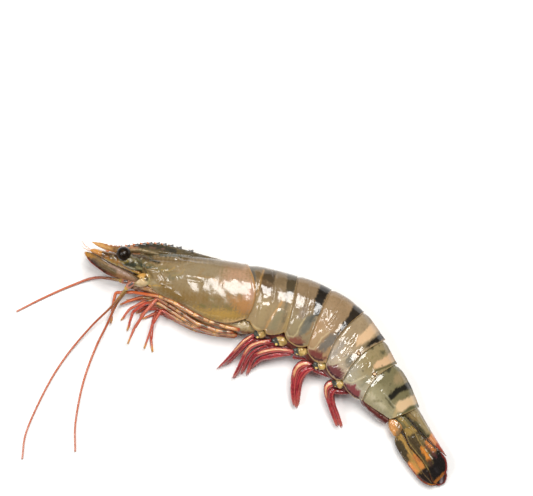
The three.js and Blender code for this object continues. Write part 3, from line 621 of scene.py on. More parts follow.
ringLooks = [   # lobes are (middle line, radius); furrows are lines; stains as on the head shell
    {"ground": (134, 112, 82), "low": (170, 146, 108), "wrinkle": 0.35,
     "lobes": [([(61.4, 14.6), (62.8, 11), (64.4, 8.2)], 2.5), ([(68.6, 15.4), (69.4, 11), (69.4, 9.2)], 2.7)],
     "furrows": [[(59, 25.6), (60.6, 22.6), (61.6, 20.6), (62.8, 18.2)],
                 [(52.3, 26.2), (53.4, 23.2), (54.5, 20.8), (55.6, 17.1)]],
     "stains": [
         ((52.6, 27.7, 57.4, 29.7, 59.2, 24.2, 53.6, 23.7), 0, 0.7, (64, 50, 32), 0.88),
         ((53.6, 23.7, 59.1, 24.2, 59.9, 21.4, 57.6, 18.4, 55.2, 19.6), 0, 1, (92, 66, 40), 0.8),
         ((57.6, 29.9, 61, 31.2, 63.4, 26.4, 59.6, 24.4), 0, 0.8, (112, 92, 64), 0.6),
         ((61.2, 31.7, 65.8, 33.2, 67.6, 27.7, 68.4, 24.4, 64.9, 25.2), 0, 0.6, (64, 54, 34), 0.88),
         ((65.6, 25, 68.6, 20.4, 69.3, 17.4, 71.2, 14), 0.8, 0.9, (92, 86, 70), 0.6),
         ((60.7, 15, 62.2, 10.6, 63.6, 7.6), 1.9, 1.5, (166, 144, 104), 0.7),
         ((67.6, 16, 68.7, 11, 68.8, 8.4), 1.9, 1.5, (142, 132, 102), 0.8),
         ((66.2, 20.4, 66.1, 14.3, 66.2, 10.6, 66.6, 7.2), 0.34, 0.5, (206, 156, 98), 0.75),
         ((71.8, 20, 72.5, 15, 73.2, 11.4), 0.7, 0.6, (176, 146, 88), 0.55),
         ((68, 7, 69.6, 7.6), 0.6, 0.8, (166, 122, 92), 0.5),
         ((44.8, 22.8, 47.6, 25.6, 51.9, 27.8, 51.4, 26.4, 49.4, 25, 51.9, 22.2, 51.6, 19), 0, 0.5, (104, 98, 86), 0.9),
         ((49.6, 24.9, 52.3, 27.6, 53.1, 23.2, 51.9, 22.7), 0, 0.4, (112, 90, 60), 0.8),
         ((52.6, 26.8, 53.4, 23.4, 54.5, 20.8, 55.6, 17.1, 56.4, 13.5, 57.1, 9.9, 57.2, 7.2), 0.42, 0.4, (166, 126, 70),
          0.85), ((53, 27.4, 53.9, 24), 0.3, 0.3, (74, 58, 36), 0.7),
         ((61.4, 5.6, 62.6, 5.2, 64.8, 5.7), 0.25, 0.3, (206, 182, 132), 0.7),
     ]},
    {"ground": (136, 112, 82), "low": (156, 138, 106), "wrinkle": 0.5,
     "lobes": [([(77, 20.6), (76.4, 16.6), (76.2, 12.6)], 2.3)],
     "furrows": [[(73.2, 29.7), (74.2, 26.9), (75.3, 23.5), (76.8, 19.8)]],
     "stains": [
         ((66.2, 33.4, 68.6, 26, 67.4, 25, 64.8, 32), 0, 0.5, (88, 72, 48), 0.8),
         ((75.6, 35.5, 80.4, 36.9, 80.4, 33, 80.5, 30, 82.4, 24.2, 80.4, 23, 77, 29), 0, 0.55, (22, 17, 11), 0.97),
         ((77.7, 20.4, 80.6, 24, 82.4, 18.9, 81.7, 14.5, 80.3, 12.5, 78.9, 14.9), 0, 1.1, (104, 106, 98), 0.8),
         ((80.6, 23.6, 80.2, 20.4), 0.8, 0.8, (64, 66, 60), 0.6),
         ((76.6, 17, 76.3, 13.6), 1.7, 1, (158, 142, 106), 0.7), ((76.3, 20, 75.6, 23), 1.2, 1.2, (150, 134, 122), 0.6),
         ((76.8, 9.6, 80.4, 12.2, 83.4, 11.6, 82.4, 9, 78, 7.6), 0, 1.1, (132, 58, 54), 0.8),
         ((76.4, 8.6, 78.9, 8, 81.1, 8.8, 83.4, 10.2), 0.4, 0.3, (62, 30, 38), 0.85),
         ((74.3, 11.1, 76.4, 10.1, 78.2, 10.9, 78.7, 12.8, 77.9, 15.9, 77.9, 20), 0.26, 0.3, (204, 184, 140), 0.8),
         ((82.2, 14.8, 83, 16.6, 81.9, 20), 0.5, 0.6, (164, 128, 84), 0.6),
     ]},
    {"ground": (152, 125, 92), "low": (178, 143, 106), "wrinkle": 0.6,
     "lobes": [([(88.9, 21.6), (87.2, 17.4), (86.4, 13.2)], 2.3)],
     "furrows": [[(87.3, 29.6), (87.4, 26.9), (87.3, 24.1)], [(86.6, 24.2), (89.4, 24.3), (92.1, 23.4)],
                 [(83.2, 27.6), (85.2, 25.2)]],
     "stains": [
         ((91.9, 36.2, 97.2, 37, 95.6, 30, 95.4, 27.6, 94.6, 23.4, 92.6, 23.6, 92, 27.5, 92.6, 31), 0, 0.5,
          (30, 23, 14), 0.96),
         ((90.3, 20.6, 92.9, 23, 94.3, 18.4, 92.8, 13.4, 90.2, 11.4, 88.8, 14.2), 0, 1.1, (106, 104, 98), 0.85),
         ((93, 23.2, 94, 20.4), 0.6, 0.7, (52, 50, 46), 0.7), ((87.4, 19.6, 86.8, 14), 1.9, 1.2, (178, 150, 112), 0.6),
         ((86.2, 9.9, 90, 11.9, 94.4, 11.2, 92.6, 8.4, 88.6, 7.8), 0, 1.1, (112, 40, 46), 0.88),
         ((86.2, 8.9, 88.6, 8.3, 91.2, 8.4, 94, 9.4), 0.4, 0.3, (56, 28, 40), 0.85),
         ((84.5, 11.5, 86.6, 10.7, 88.2, 11.4, 88.5, 13.6, 88.3, 17.1, 89.6, 21), 0.26, 0.3, (206, 184, 144), 0.8),
         ((93.4, 15, 94.9, 18), 0.5, 0.6, (176, 138, 92), 0.6),
     ]},
    {"ground": (160, 138, 106), "low": (192, 174, 150), "wrinkle": 0.6,
     "lobes": [([(101.8, 17.8), (99.4, 14.5), (97.8, 12)], 2.2)],
     "furrows": [[(98, 22.1), (99.5, 22.7), (99.9, 24.9)], [(99.7, 26.3), (100.6, 23.9), (100.5, 22.3)],
                 [(99.7, 18.4), (99.9, 15.9)],
                 [(96.8, 21.7), (98.7, 21.1)], [(95.6, 20), (96.6, 17.7)], [(101.6, 21), (103.4, 20.6)]],
     "stains": [
         ((100.6, 25, 101.9, 30.8, 102.6, 34.6, 106.6, 33.4, 105.7, 28.7, 104.3, 24.7, 102.3, 22.6), 0, 0.6,
          (228, 190, 148), 0.92),
         ((105.7, 24, 105.8, 26.7, 107.3, 30.5, 108.2, 33, 110.6, 31.4, 109.4, 29.2, 108.2, 27.4, 106.9, 24.6), 0, 0.5,
          (14, 9, 4), 0.98), ((104.6, 22.6, 105.6, 26), 0.7, 0.7, (104, 92, 62), 0.6),
         ((95.8, 12.4, 96.6, 16, 97, 20), 1.2, 1.4, (158, 150, 142), 0.7),
         ((101, 16.6, 103.9, 19, 105.5, 15.8, 103.7, 12.3), 0, 1.3, (104, 104, 94), 0.8),
         ((105.8, 14.8, 106.6, 12.4), 0.7, 0.8, (156, 134, 90), 0.6),
         ((96.4, 9.2, 99.9, 11.2, 103.8, 10.2, 105.6, 7.4, 102.2, 6.2, 98.4, 6.6), 0, 1.1, (104, 32, 46), 0.9),
         ((97, 8.4, 99.6, 7.1, 102.6, 6.8, 105, 7.2), 0.4, 0.3, (52, 24, 38), 0.85),
         ((96, 10.8, 97.4, 9.8, 98.7, 10.6, 99.8, 12.8, 101.6, 16.4), 0.26, 0.3, (206, 190, 158), 0.8),
     ]},
    {"ground": (150, 133, 94), "low": (184, 177, 156), "wrinkle": 0.4,
     "lobes": [([(112.6, 14.8), (109.6, 11.6), (107.8, 9.6)], 2.1)],
     "furrows": [[(108.4, 20.4), (110.2, 20), (111.4, 18.4)], [(107.2, 17.4), (109, 16.4)],
                 [(112.4, 19.2), (114, 17.4)]],
     "stains": [
         ((108.1, 25.4), 0.75, 0.6, (60, 60, 36), 0.85), ((113.3, 26.1), 1, 0.8, (64, 66, 44), 0.75),
         ((110.6, 22.2), 0.4, 0.4, (120, 112, 66), 0.6),
         ((112.9, 20, 113.3, 21.6, 114.9, 24.9, 116.6, 29.4, 120.6, 27.4, 119.4, 25.2, 117, 21.6, 113.7, 18.3), 0, 0.6,
          (226, 186, 144), 0.92), ((115, 18.4, 117.1, 21.3, 120.2, 25.6), 0.5, 0.4, (86, 80, 44), 0.85),
         ((105.3, 10, 106.6, 13, 107.6, 15), 1.1, 1.2, (168, 160, 144), 0.7),
         ((112.6, 14, 114.6, 15.4, 114.6, 10, 112.8, 9.4), 0, 1.2, (136, 132, 108), 0.7),
         ((106.8, 6.6, 111.2, 8.6, 115.8, 6.4, 115, 4.6, 112.6, 4, 109, 5), 0, 1, (130, 42, 56), 0.9),
         ((107.2, 6.2, 109.6, 5.2, 112.6, 4.6, 115.4, 4.8), 0.38, 0.3, (60, 26, 38), 0.85),
         ((105.5, 8.6, 107.6, 7.8, 109.4, 8.5, 110.6, 10.7, 112.4, 14), 0.26, 0.3, (206, 192, 156), 0.8),
     ]},
    {"ground": (124, 116, 82), "low": (174, 165, 130), "wrinkle": 0.3, "lobes": [],
     "furrows": [[(124, 11.6), (126.5, 10.7), (130.4, 9.3)], [(118.6, 14.4), (121.4, 12.8)]],
     "stains": [
         ((119.4, 21.6), 0.9, 0.7, (54, 54, 36), 0.85),
         ((122.9, 20.2, 123.9, 23.4, 126.8, 25, 128.9, 22.4, 127.3, 19.8, 124.6, 18.3), 0, 1.3, (168, 144, 106), 0.7),
         ((127, 11.1, 125.3, 12.5, 126.3, 16.9, 128.1, 19.8, 130.2, 23, 132.6, 20.6, 129.6, 17.4, 128.3, 15.5, 128,
           12.7), 0, 0.5, (20, 18, 10), 0.97), ((129, 13, 129.8, 16.4, 132, 19), 0.8, 0.7, (120, 112, 76), 0.6),
         ((130, 10.8, 130.3, 13.2, 131.6, 14.5, 133.3, 17.1, 135.2, 20, 138.4, 17, 135.3, 14, 134.6, 10.4, 132.2, 8.8),
          0, 0.6, (228, 194, 150), 0.9), ((134.6, 9.6, 136, 13.4, 139, 16.4), 0.55, 0.5, (84, 82, 48), 0.85),
         # partly the ring's own pale colour, partly a painted highlight on its low front
         ((119, 8.2, 122, 7.6, 126, 7.2), 1.1, 1.4, (200, 188, 158), 0.7),
         ((121.6, 7.4, 123, 8.4), 0.5, 0.6, (110, 104, 60), 0.6),
         ((124.6, 11.2, 126.8, 10.6, 130, 9.4), 0.3, 0.3, (60, 58, 40), 0.7),
         # the pale line along the side keel is a painted highlight
         ((123.6, 12.5, 126.1, 11.6, 130.5, 10.2), 0.16, 0.2, (196, 194, 170), 0.35),
         ((131.4, 9.2, 132.6, 6.6), 0.7, 0.7, (196, 168, 116), 0.6),
     ]},
]


def acrossThree(a, m, b, t):         # a line through three points, at share t
    a, m, b = (np.asarray(p, float) for p in (a, m, b))
    t = t[:, None]
    return a * (1 - t) * (1 - 2 * t) + m * 4 * t * (1 - t) + b * t * (2 * t - 1)


def ringShare(u):                    # from the sheet's own share to the ring's, 0 at the seam in front
    return -abdomen["lead"] + (1 + abdomen["overhang"] + abdomen["lead"]) * u / abdomen["turnIn"]


def ringSpotMaker(k):
    def spotOf(u, w):
        fold = abdomen["turnIn"]
        f = np.clip((u - fold) / (1 - fold), 0, 1)
        t = np.where(u <= fold, ringShare(u), 1 + abdomen["overhang"] - 0.16 * np.clip(f - 0.3, 0, 1))
        inset = abdomen["lip"] * np.clip(f / 0.3, 0, 1) * 1.5
        inset = inset + 0.62 * (1 - ease(t, -0.02, 0.16)) - 0.16 * ease(t, 0.8, 1)
        back = acrossThree(abdomen["backs"][k], abdomen["backMids"][k], abdomen["backs"][k + 1], t)
        a, b = np.array(abdomen["hems"][k]), np.array(abdomen["hems"][k + 1])
        lobe = np.array(abdomen["hemMids"][k]) - (a + b) / 2
        rounded = 1 - np.abs(2 * np.clip(t, 0, 1) - 1) ** 2.6
        hem = a + (b - a) * t[:, None] + lobe * rounded[:, None]
        if k == 0:                   # the first ring's flap is notched between its two lobes
            hem = hem + np.array([[0.2, 1.5]]) * hump(t, 0.43, 0.085)[:, None]
        half, mid, bulge, peak, corner = (
            abdomen[key][k] + (abdomen[key][k + 1] - abdomen[key][k]) * t
            for key in ("halfWidths", "mids", "bulges", "peaks", "corners")
        )
        half = half + abdomen["swell"][k] * (1 - (2 * np.clip(t, 0, 1) - 1) ** 2) + abdomen["flare"][k] * (t - 0.5)
        return ringSpot(back, hem, half, mid, bulge, peak, w, inset, corner)

    return spotOf


def buildRing(k, look):
    ring = bentShell(f"tailRing{k + 1}", 110, 210, ringSpotMaker(k))
    u, w = marked(ring, "along"), marked(ring, "around")
    t, flat = ringShare(u), planOf(ring)
    outside = (u < abdomen["turnIn"]) * (w < 0.8)
    amount = 0.12 * hump(t, 1.035, 0.015) * outside + 0.08 * hump(w, 0.787, 0.01)
    if k < 3:                        # furrow across the back
        amount += (0.1 * hump(t, 0.47, 0.03) - 0.2 * hump(t, 0.42, 0.016)) * ease(w, 0.3, 0.2) * ease(w, 0.03, 0.1)
    else:                            # keel along the back
        amount += 0.55 * np.exp(-(w / 0.028) ** 2) * ease(t, 0.05, 0.3) * outside
    for middle, radius in look["lobes"]:
        away = distanceTo(flat, middle) - radius
        amount += (0.2 * (1 - ease(away, -1.3, 0.2)) - 0.1 * hump(away, 0.3, 0.3)) * outside * ease(w, 0.36, 0.5)
    for line in look["furrows"]:
        away = distanceTo(flat, line)
        amount += (0.1 * hump(away, 0.6, 0.35) - 0.2 * hump(away, 0, 0.22)) * outside * ease(w, 0.08, 0.2)
    if k == 5:                       # side keel of the last ring
        away = distanceTo(flat, [(123.4, 12.6), (126.1, 11.6), (131.4, 9.8)])
        amount += 0.08 * hump(away, 0, 0.6) * outside
    waves = unevenness(ring, 3.6, 20 + k)
    amount += (0.045 * waves + 0.03 * look["wrinkle"] * unevenness(ring, 1.5, 40 + k)) * outside
    push(ring, amount)
    stain(ring, look["stains"], 30 + k)
    return ring


def ringPaint(k, look):
    paint = Paint(f"tailShell{k + 1}", wetShell, Coat_Roughness=0.09 if k < 3 else 0.05)
    u, w = paint.number("along"), paint.number("around")
    t = u * ((1 + abdomen["overhang"] + abdomen["lead"]) / abdomen["turnIn"]) - abdomen["lead"]
    red, green, blue = look["ground"]
    colour, cloud, fine = shellGround(paint, [
        (red, green, blue), (red + 10, green + 9, blue + 8), (red - 16, green - 12, blue - 12),
    ])
    wander = (cloud - 0.5) * 0.14
    mottle = paint.step(paint.noise(0.8, 3, 0.6, 11.0 + k), 0.52, 0.7)
    colour = paint.coats(
        colour, (look["low"], paint.step(w + wander, 0.3, 0.46) * 0.85), ((106, 92, 62), mottle * 0.25),
    )
    spots = 1.0 - paint.step(paint.cells(3.4, "F1", k * 3.1), 0.08, 0.2)
    spots = spots * (0.4 if k >= 4 else 0.15) * (1.0 - paint.step(w, 0.5, 0.6))
    rim = paint.math("MAXIMUM", paint.step(w, 0.784, 0.792), paint.step(t, 1.038, 1.046))
    inside = paint.math("MAXIMUM", paint.step(w, 0.83, 0.86), paint.step(u, 0.95, 0.965))
    # painted shade darkens each ring towards the ridge of the back
    colour = paint.coats(
        paint.stained(colour), paintedBackShade(paint, w), ((64, 60, 38), spots),
        ((186, 146, 82), rim * 0.75), ((132, 78, 56), inside * 0.85),
    )
    return paint.done(colour, shellGrain(paint, look["wrinkle"], 0.06), 0.11 if k < 3 else 0.09, 0.32 + fine * 0.16)


for k, look in enumerate(ringLooks):
    finished(buildRing(k, look), ringPaint(k, look), "abdomen_shell", f"abdomen_{k + 1}")
print("tail rings done")

hinges = {
    "spots": [(104.8, 20.4, 8.6), (115.2, 16.9, 7.95)], "mids": [8.25, 7.35],
    "radius": 0.92, "squash": (1.15, 0.9, 0.6),
}


def buildHinges():                   # glassy beads where the rings turn on each other
    parts = []
    for (x, y, out), mid in zip(hinges["spots"], hinges["mids"]):
        for side in (1, -1):
            parts.append(ball("bead", hinges["radius"], (x, y, mid + side * out), hinges["squash"]))
    beads = joinAll("hingeBeads", parts)
    push(beads, 0.07 * unevenness(beads, 1.2, 15))
    mark(beads, "upward", np.abs(vertexNormals(beads)[:, 2]))
    return beads


def beadPaint():
    paint = Paint("hingeBead", wetShell)
    # painted highlight: the bead turns pale where it faces up
    colour = paint.mixed((104, 58, 22), (236, 206, 164), paint.step(paint.number("upward"), 0.84, 0.97))
    return paint.done(colour, paint.noise(0.5, 2, 0.5, 1), 0.08, 0.2)


finished(buildHinges(), beadPaint(), "abdomen_shell")
print("tail shells done")


def leafSkin(name, upper, lower, levels, thicks, along=60, around=24, sharp=2, ribs=()):
    # a leaf between two edges drawn on the plan; levels and thicks are heights; ribs are (across, height, width)
    sheet, u, v = gridSheet(name, along, around)
    turn = v * 2 * math.pi
    across = np.cos(turn)            # 1 at the upper edge, -1 at the lower edge
    thick = smoothValue(thicks, u)
    body = (1 - np.abs(across) ** sharp) ** (1 / sharp) * np.sign(np.sin(turn))
    body[np.abs(np.sin(turn)) < 1e-6] = 0
    rise = thick * body
    for where, height, width in ribs:
        faded = ease(u, 0, 0.08) * ease(u, 1, 0.85) * np.abs(body) ** 0.3
        rise += height * hump(across, where, width) * np.sign(body) * faded
    one, other = smoothLine(upper, u), smoothLine(lower, u)
    plan = (one + other) / 2 + (one - other) / 2 * across[:, None]
    setPlaces(sheet, plan[:, 0], plan[:, 1], smoothValue(levels, u) + rise)
    mark(sheet, "along", u)
    mark(sheet, "across", across)
    tidyMesh(sheet)
    return sheet


def bladeSkin(name, stations, halves, thicks, along=60, around=24):    # a leaf about a middle line
    stations = smoothLine(stations, np.linspace(0, 1, 15))
    ahead = np.gradient(stations[:, :2], axis=0)
    sideways = np.column_stack([-ahead[:, 1], ahead[:, 0]]) / np.linalg.norm(ahead, axis=1)[:, None]
    half = smoothValue(halves, np.linspace(0, 1, 15))[:, None]
    flat = stations[:, :2]
    return leafSkin(name, flat + sideways * half, flat - sideways * half, stations[:, 2], thicks, along, around)


def stainedLeaf(name, spec, levels, sizes, height, grain, seed, ragged=1):
    # a leaf with an uneven skin and its stains; sizes are those of leafSkin
    leaf = leafSkin(name, spec["upper"], spec["lower"], levels, spec["thick"], *sizes)
    for points, wide, high in spec.get("ribs", ()):
        push(leaf, high * (1 - ease(distanceTo(planOf(leaf), points), wide * 0.2, wide)))
    push(leaf, height * unevenness(leaf, grain, seed))
    stain(leaf, spec["stains"], seed + 1, ragged)
    return leaf


def jointedStations(joints, radius, knuckle=1, step=1.6):
    # points along a limb with short rounded bends at its joints, their radii, and the share of each in its segment
    joints = [np.array(j, float) for j in joints]
    spots, radii, shares = [], [], []
    count = len(joints) - 1

    def radiusAt(share): return float(np.interp(share, np.linspace(0, 1, len(radius)), radius))

    for k in range(count):
        a, b = joints[k], joints[k + 1]
        run = b - a
        length = np.linalg.norm(run)
        gap = min(0.3 * length, radiusAt(k / count) * 1.1)
        inner = np.linspace(gap if k else 0, length - gap if k < count - 1 else length, max(3, int(length / step)))
        for d in inner:
            f = d / length
            swell = 1 + knuckle * (0.16 * float(hump(f, 1, 0.14)) + 0.05 * float(hump(f, 0.08, 0.1)) - 0.05)
            spots.append(a + run * f)
            radii.append(radiusAt((k + f) / count) * swell)
            shares.append(f)
        if k < count - 1:
            nextRun = joints[k + 2] - b
            before, after = b - run / length * gap, b + nextRun / np.linalg.norm(nextRun) * gap
            for f in (0.3, 0.6):
                spots.append(before * (1 - f) ** 2 + b * 2 * f * (1 - f) + after * f * f)
                radii.append(radiusAt((k + 1) / count) * (1 - 0.13 * knuckle))
                shares.append(1)
    return spots, radii, shares


def tube(name, spots, radii, shares=None, roundness=3):
    deselectAll()
    bpy.ops.curve.primitive_nurbs_path_add(location=(0, 0, 0))
    path = bpy.context.active_object
    path.name = name
    path.data.splines.clear()
    spline = path.data.splines.new("POLY")
    spline.points.add(len(spots) - 1)
    for point, spot, radius in zip(spline.points, spots, radii):
        point.co = (*place(*spot), 1)
        point.radius = radius
    path.data.bevel_depth = mm
    path.data.bevel_resolution = roundness
    path.data.fill_mode = "FULL"
    path.data.use_fill_caps = True
    bpy.ops.object.convert(target="MESH")
    made = bpy.context.active_object
    made.data.name = name
    sides = 4 + 2 * roundness        # the two caps' own points come first, the far end's before the near one's
    run = np.concatenate([[0], np.cumsum(np.linalg.norm(np.diff(np.array(spots, float), axis=0), axis=1))])
    run /= run[-1]
    shares = run if shares is None else np.array(shares)
    mark(made, "along", np.repeat(np.concatenate([[1, 0], run]), sides))
    mark(made, "segment", np.repeat(np.concatenate([shares[[-1, 0]], shares]), sides))
    tidyMesh(made, 0.000001)
    mark(made, "upward", vertexNormals(made)[:, 2])
    setCoordinates(made, coordinates(made))      # lifts what dips below the table
    return made


wetSkin = {
    "Roughness": 0.38, "Specular_IOR_Level": 0.2, "Coat_Weight": 0.9, "Coat_Roughness": 0.08, "Coat_IOR": 1.45,
    "Subsurface_Weight": 0.2, "Subsurface_Radius": (0.0014, 0.0007, 0.0004), "Subsurface_Scale": 1,
}

rostrum = {
    "top": [(-14.3, -3.5), (-10.5, -1.6), (-7.2, -0.6), (-3.4, 1.4), (0.4, 4.6), (5.5, 9), (10.5, 12), (15.3, 13.9),
            (22, 16.2), (29, 18.5), (36, 20.9)],
    "bottom": [(-14.2, -3.7), (-11.4, -3.8), (-7.6, -3.2), (-3.6, -2), (0.2, -0.2), (4.6, 2.7), (9, 5.2), (14, 8),
               (20, 11.6), (28, 16), (36, 19.8)],
    "half": [0.3, 0.6, 0.75, 0.9, 1.1, 1.5, 2.2, 2.6, 2.2, 1.4, 0.3],
    "teeth": [(-9, -1, 1), (-7.2, -0.3, 1.1), (-5.5, 0.5, 1.3), (-4, 1.4, 1.6), (-2, 3.2, 2.4), (0.4, 5.4, 2.7),
              (2.7, 7.4, 2.7), (4.9, 9.2, 2.7), (7.6, 10.9, 2.7), (10.2, 12.2, 2.6), (13, 13.4, 2.5), (16.4, 14.7, 2.4),
              (21.4, 16.4, 2.2)],
    "lean": math.radians(197), "lowTooth": (-7.5, -3.4, 1.5), "lowLean": math.radians(208),
    "stains": [
        ((-9, -1.1, -5, 0.3, -2.5, 2.2), 0.4, 0.4, (150, 84, 46), 0.7),
        ((-4.6, -0.8, -2.6, 0.6), 0.6, 1.3, (92, 66, 44), 0.85),
        ((-13, -3.3, -9, -2.4), 0.4, 0.5, (222, 172, 104), 0.5),
        ((-1.6, 2.6, 2.8, 5.3), 0.9, 0.8, (206, 148, 110), 0.8),
        ((1.7, 5.6, 3.4, 6.4, 6.1, 8.2, 9.3, 9.9, 12.8, 11.2, 17, 12.8), 1, 0.7, (50, 48, 42), 0.88),
        ((20, 14.4, 28, 17.4), 0.8, 0.9, (78, 70, 52), 0.75), ((7.6, 8.3, 9.4, 9.2), 0.3, 0.4, (150, 104, 84), 0.4),
        ((12, 10.6, 13, 11.2), 0.25, 0.4, (166, 122, 106), 0.35),
        ((1.2, 3, 3.2, 4.4, 5.4, 5.5, 7.7, 6.4, 10, 7.2, 11.9, 7.9), 0.26, 0.3, (196, 174, 136), 0.7),
        ((2.4, 2.2, 5.8, 3.9, 8.4, 5), 0.55, 0.5, (84, 62, 34), 0.85),
        ((11.4, 6.9, 16, 9.4), 0.5, 0.6, (104, 102, 80), 0.6),
        ((13.1, 8.3, 17, 10.3), 0.5, 0.5, (60, 62, 50), 0.7), ((-6.4, -2.8, -3, -1.7), 0.3, 0.3, (196, 108, 46), 0.5),
    ],
}


def buildTooth(x, y, size, lean):
    way = np.array([math.cos(lean), math.sin(lean)])
    spots, radii = [], []
    for f in np.linspace(0, 1, 8):
        bend = np.array([-way[1], way[0]]) * 0.14 * size * math.sin(f * math.pi)
        spot = np.array([x, y]) - way * size * (1 - f) + bend
        spots.append((spot[0], spot[1], headPlane))
        radii.append(max(0.36 * size * (1 - f) ** 0.7, 0.07))
    tooth = tube("tooth", spots, radii, roundness=2)
    co = coordinates(tooth)
    co[:, 2] = headPlane * mm + (co[:, 2] - headPlane * mm) * 0.8
    setCoordinates(tooth, co)
    mark(tooth, "height", 1.1 + marked(tooth, "along"))
    return tooth


def buildRostrum():
    sheet, u, v = gridSheet("rostrum", 170, 44)
    top, bottom = smoothLine(rostrum["top"], u), smoothLine(rostrum["bottom"], u)
    half = smoothValue(rostrum["half"], u)
    turn = v * 2 * math.pi
    height = np.cos(turn)            # 1 at the saw edge, -1 at the lower edge
    low = height < -0.2
    out = np.where(low, np.sqrt(np.clip(1 - ((height + 0.2) / 0.8) ** 2, 0, 1)), ((1 - height) / 1.2) ** 0.8)
    ridge = 0.3 * hump(height, -0.25, 0.12) * ease(u, 0.03, 0.2) * ease(u, 0.9, 0.6)
    spot = (top + bottom) / 2 + (top - bottom) / 2 * height[:, None]
    side = np.where(np.sin(turn) >= 0, 1, -1)
    rise = side * (half * out + ridge * (np.abs(height) < 0.999))
    setPlaces(sheet, spot[:, 0], spot[:, 1], headPlane + rise)
    mark(sheet, "along", u)
    mark(sheet, "height", height)
    tidyMesh(sheet)
    push(sheet, 0.05 * unevenness(sheet, 1.6, 12))
    stain(sheet, rostrum["stains"], 13)
    parts = [sheet]
    topLine = smoothLine(rostrum["top"], np.linspace(0, 1, 200))
    for x, y, size in rostrum["teeth"]:
        tooth = buildTooth(x, y, size, rostrum["lean"])
        mark(tooth, "along", np.interp(x, topLine[:, 0], np.linspace(0, 1, 200)))
        parts.append(tooth)
    lowTooth = buildTooth(*rostrum["lowTooth"], rostrum["lowLean"])
    mark(lowTooth, "height", 2.1)
    mark(lowTooth, "along", 0.15)
    parts.append(lowTooth)
    return joinAll("rostrum", parts)


def rostrumPaint():
    paint = Paint("rostrumShell", wetShell)
    along, height = paint.number("along"), paint.number("height")
    fine = paint.noise(1.2, 4, 0.65, 3)
    wander = (paint.noise(3, 3, 0.6, 6) - 0.5) * 0.3
    colour = paint.ramp(along + wander * 0.2, (0, (208, 152, 92)), (0.2, (190, 142, 84)),
                        (0.36, (132, 100, 58)), (0.5, (98, 84, 56)), (1, (104, 88, 58)))
    colour = paint.stained(paint.mixed(colour, (112, 84, 50), paint.step(fine, 0.5, 0.7) * 0.35))
    root = paint.mixed((176, 112, 62), (48, 44, 42), paint.step(along, 0.2, 0.32))
    tip = paint.mixed((214, 118, 56), (96, 90, 84), paint.step(along, 0.55, 0.7))
    colour = paint.coats(
        colour, (root, paint.step(height, 1.08, 1.1) * 0.92), (tip, paint.step(height + wander, 1.5, 1.85) * 0.9),
    )
    return paint.done(colour, shellGrain(paint, 0.6), 0.14, 0.3 + fine * 0.15)


finished(buildRostrum(), rostrumPaint(), "carapace_shell", "carapace")
print("rostrum done")

eyes = {"radius": 3.05, "squash": (1, 1, 0.94), "out": 6.2}
stalks = {
    "upper": [(11.2, 0.9), (8.8, 1.9), (5.6, 1.9), (2.9, 1.4), (0.6, 1)],
    "lower": [(11.2, -1.6), (9.2, -3.2), (6, -4), (2.6, -4.2), (-0.8, -3.4)],
    "out": [2.2, 3.4, 4.3, 4.6, 4.8], "thick": [1.4, 2, 2.4, 2.5, 2],
    "stains": [
        ((-1.6, -2.9, -0.2, -3.6, 1.8, -3.7, 3, -2.6, 3.3, -1), 0.5, 0.3, (150, 126, 50), 0.9),
        ((-0.8, -4.1, 1.6, -4.4, 3.4, -3.4), 0.32, 0.3, (46, 42, 26), 0.8),
        ((3.6, -0.4, 5.4, 0.6), 0.6, 0.5, (132, 118, 84), 0.4),
        ((3.4, -2.7, 5.4, -2, 6.8, -1.4), 0.75, 0.5, (46, 52, 42), 0.8),
        ((4.2, -3.7, 7.4, -2.8, 9.2, -1.5), 0.22, 0.2, (214, 206, 172), 0.8),
        ((5.4, 1.2, 8.4, 1.4), 0.5, 0.4, (92, 88, 56), 0.8),
        ((6.2, -0.4, 8.6, 0.2, 10, -0.4), 0.5, 0.4, (60, 66, 50), 0.8),
        ((5.2, 0.2, 7.6, -0.6), 0.25, 0.2, (196, 184, 140), 0.6), ((7.6, -1.6, 10, -1), 0.4, 0.3, (152, 142, 96), 0.8),
        ((8, -2.6, 10, -2), 0.5, 0.3, (58, 56, 34), 0.8),
    ],
}


def eyePaint():
    paint = Paint("eyeball", wetSkin, Coat_Roughness=0.03, Coat_IOR=1.28, Specular_IOR_Level=0.05, Subsurface_Weight=0)
    facets = paint.cells(0.16, "F1", 0)
    cloud = paint.noise(1.6, 3, 0.6, 0.4)
    colour = paint.mixed((14, 9, 6), (48, 34, 20), paint.step(cloud, 0.42, 0.68))
    return paint.done(colour, facets, 0.02, 0.25)


def stalkPaint():
    paint = Paint("eyestalkSkin", wetSkin)
    blot = paint.noise(1.7, 3, 0.6, 2)
    fine = paint.noise(0.7, 3, 0.6, 5)
    colour = paint.mixed((78, 68, 40), (104, 90, 56), paint.step(blot, 0.4, 0.6))
    colour = paint.stained(colour)
    colour = paint.mixed(colour, (40, 46, 38), paint.step(blot + (fine - 0.5) * 0.3, 0.58, 0.66) * 0.5)
    return paint.done(colour, blot + fine * 0.5, 0.28, 0.3)


eyeMaterial, stalkMaterial = eyePaint(), stalkPaint()
for side, label, word in sides:
    eye = ball(f"eye{word}", eyes["radius"], (0, 0, headPlane + side * eyes["out"]), eyes["squash"], 40, 28)
    finished(eye, eyeMaterial, "eye", f"eye_{label}")
    levels = [headPlane + side * z for z in stalks["out"]]
    stalk = stainedLeaf(f"eyestalk{word}", stalks, levels, (50, 36), 0.16, 1.8, 60)
    finished(stalk, stalkMaterial, "eyestalk", f"eyestalk_{label}")
print("eyes done")

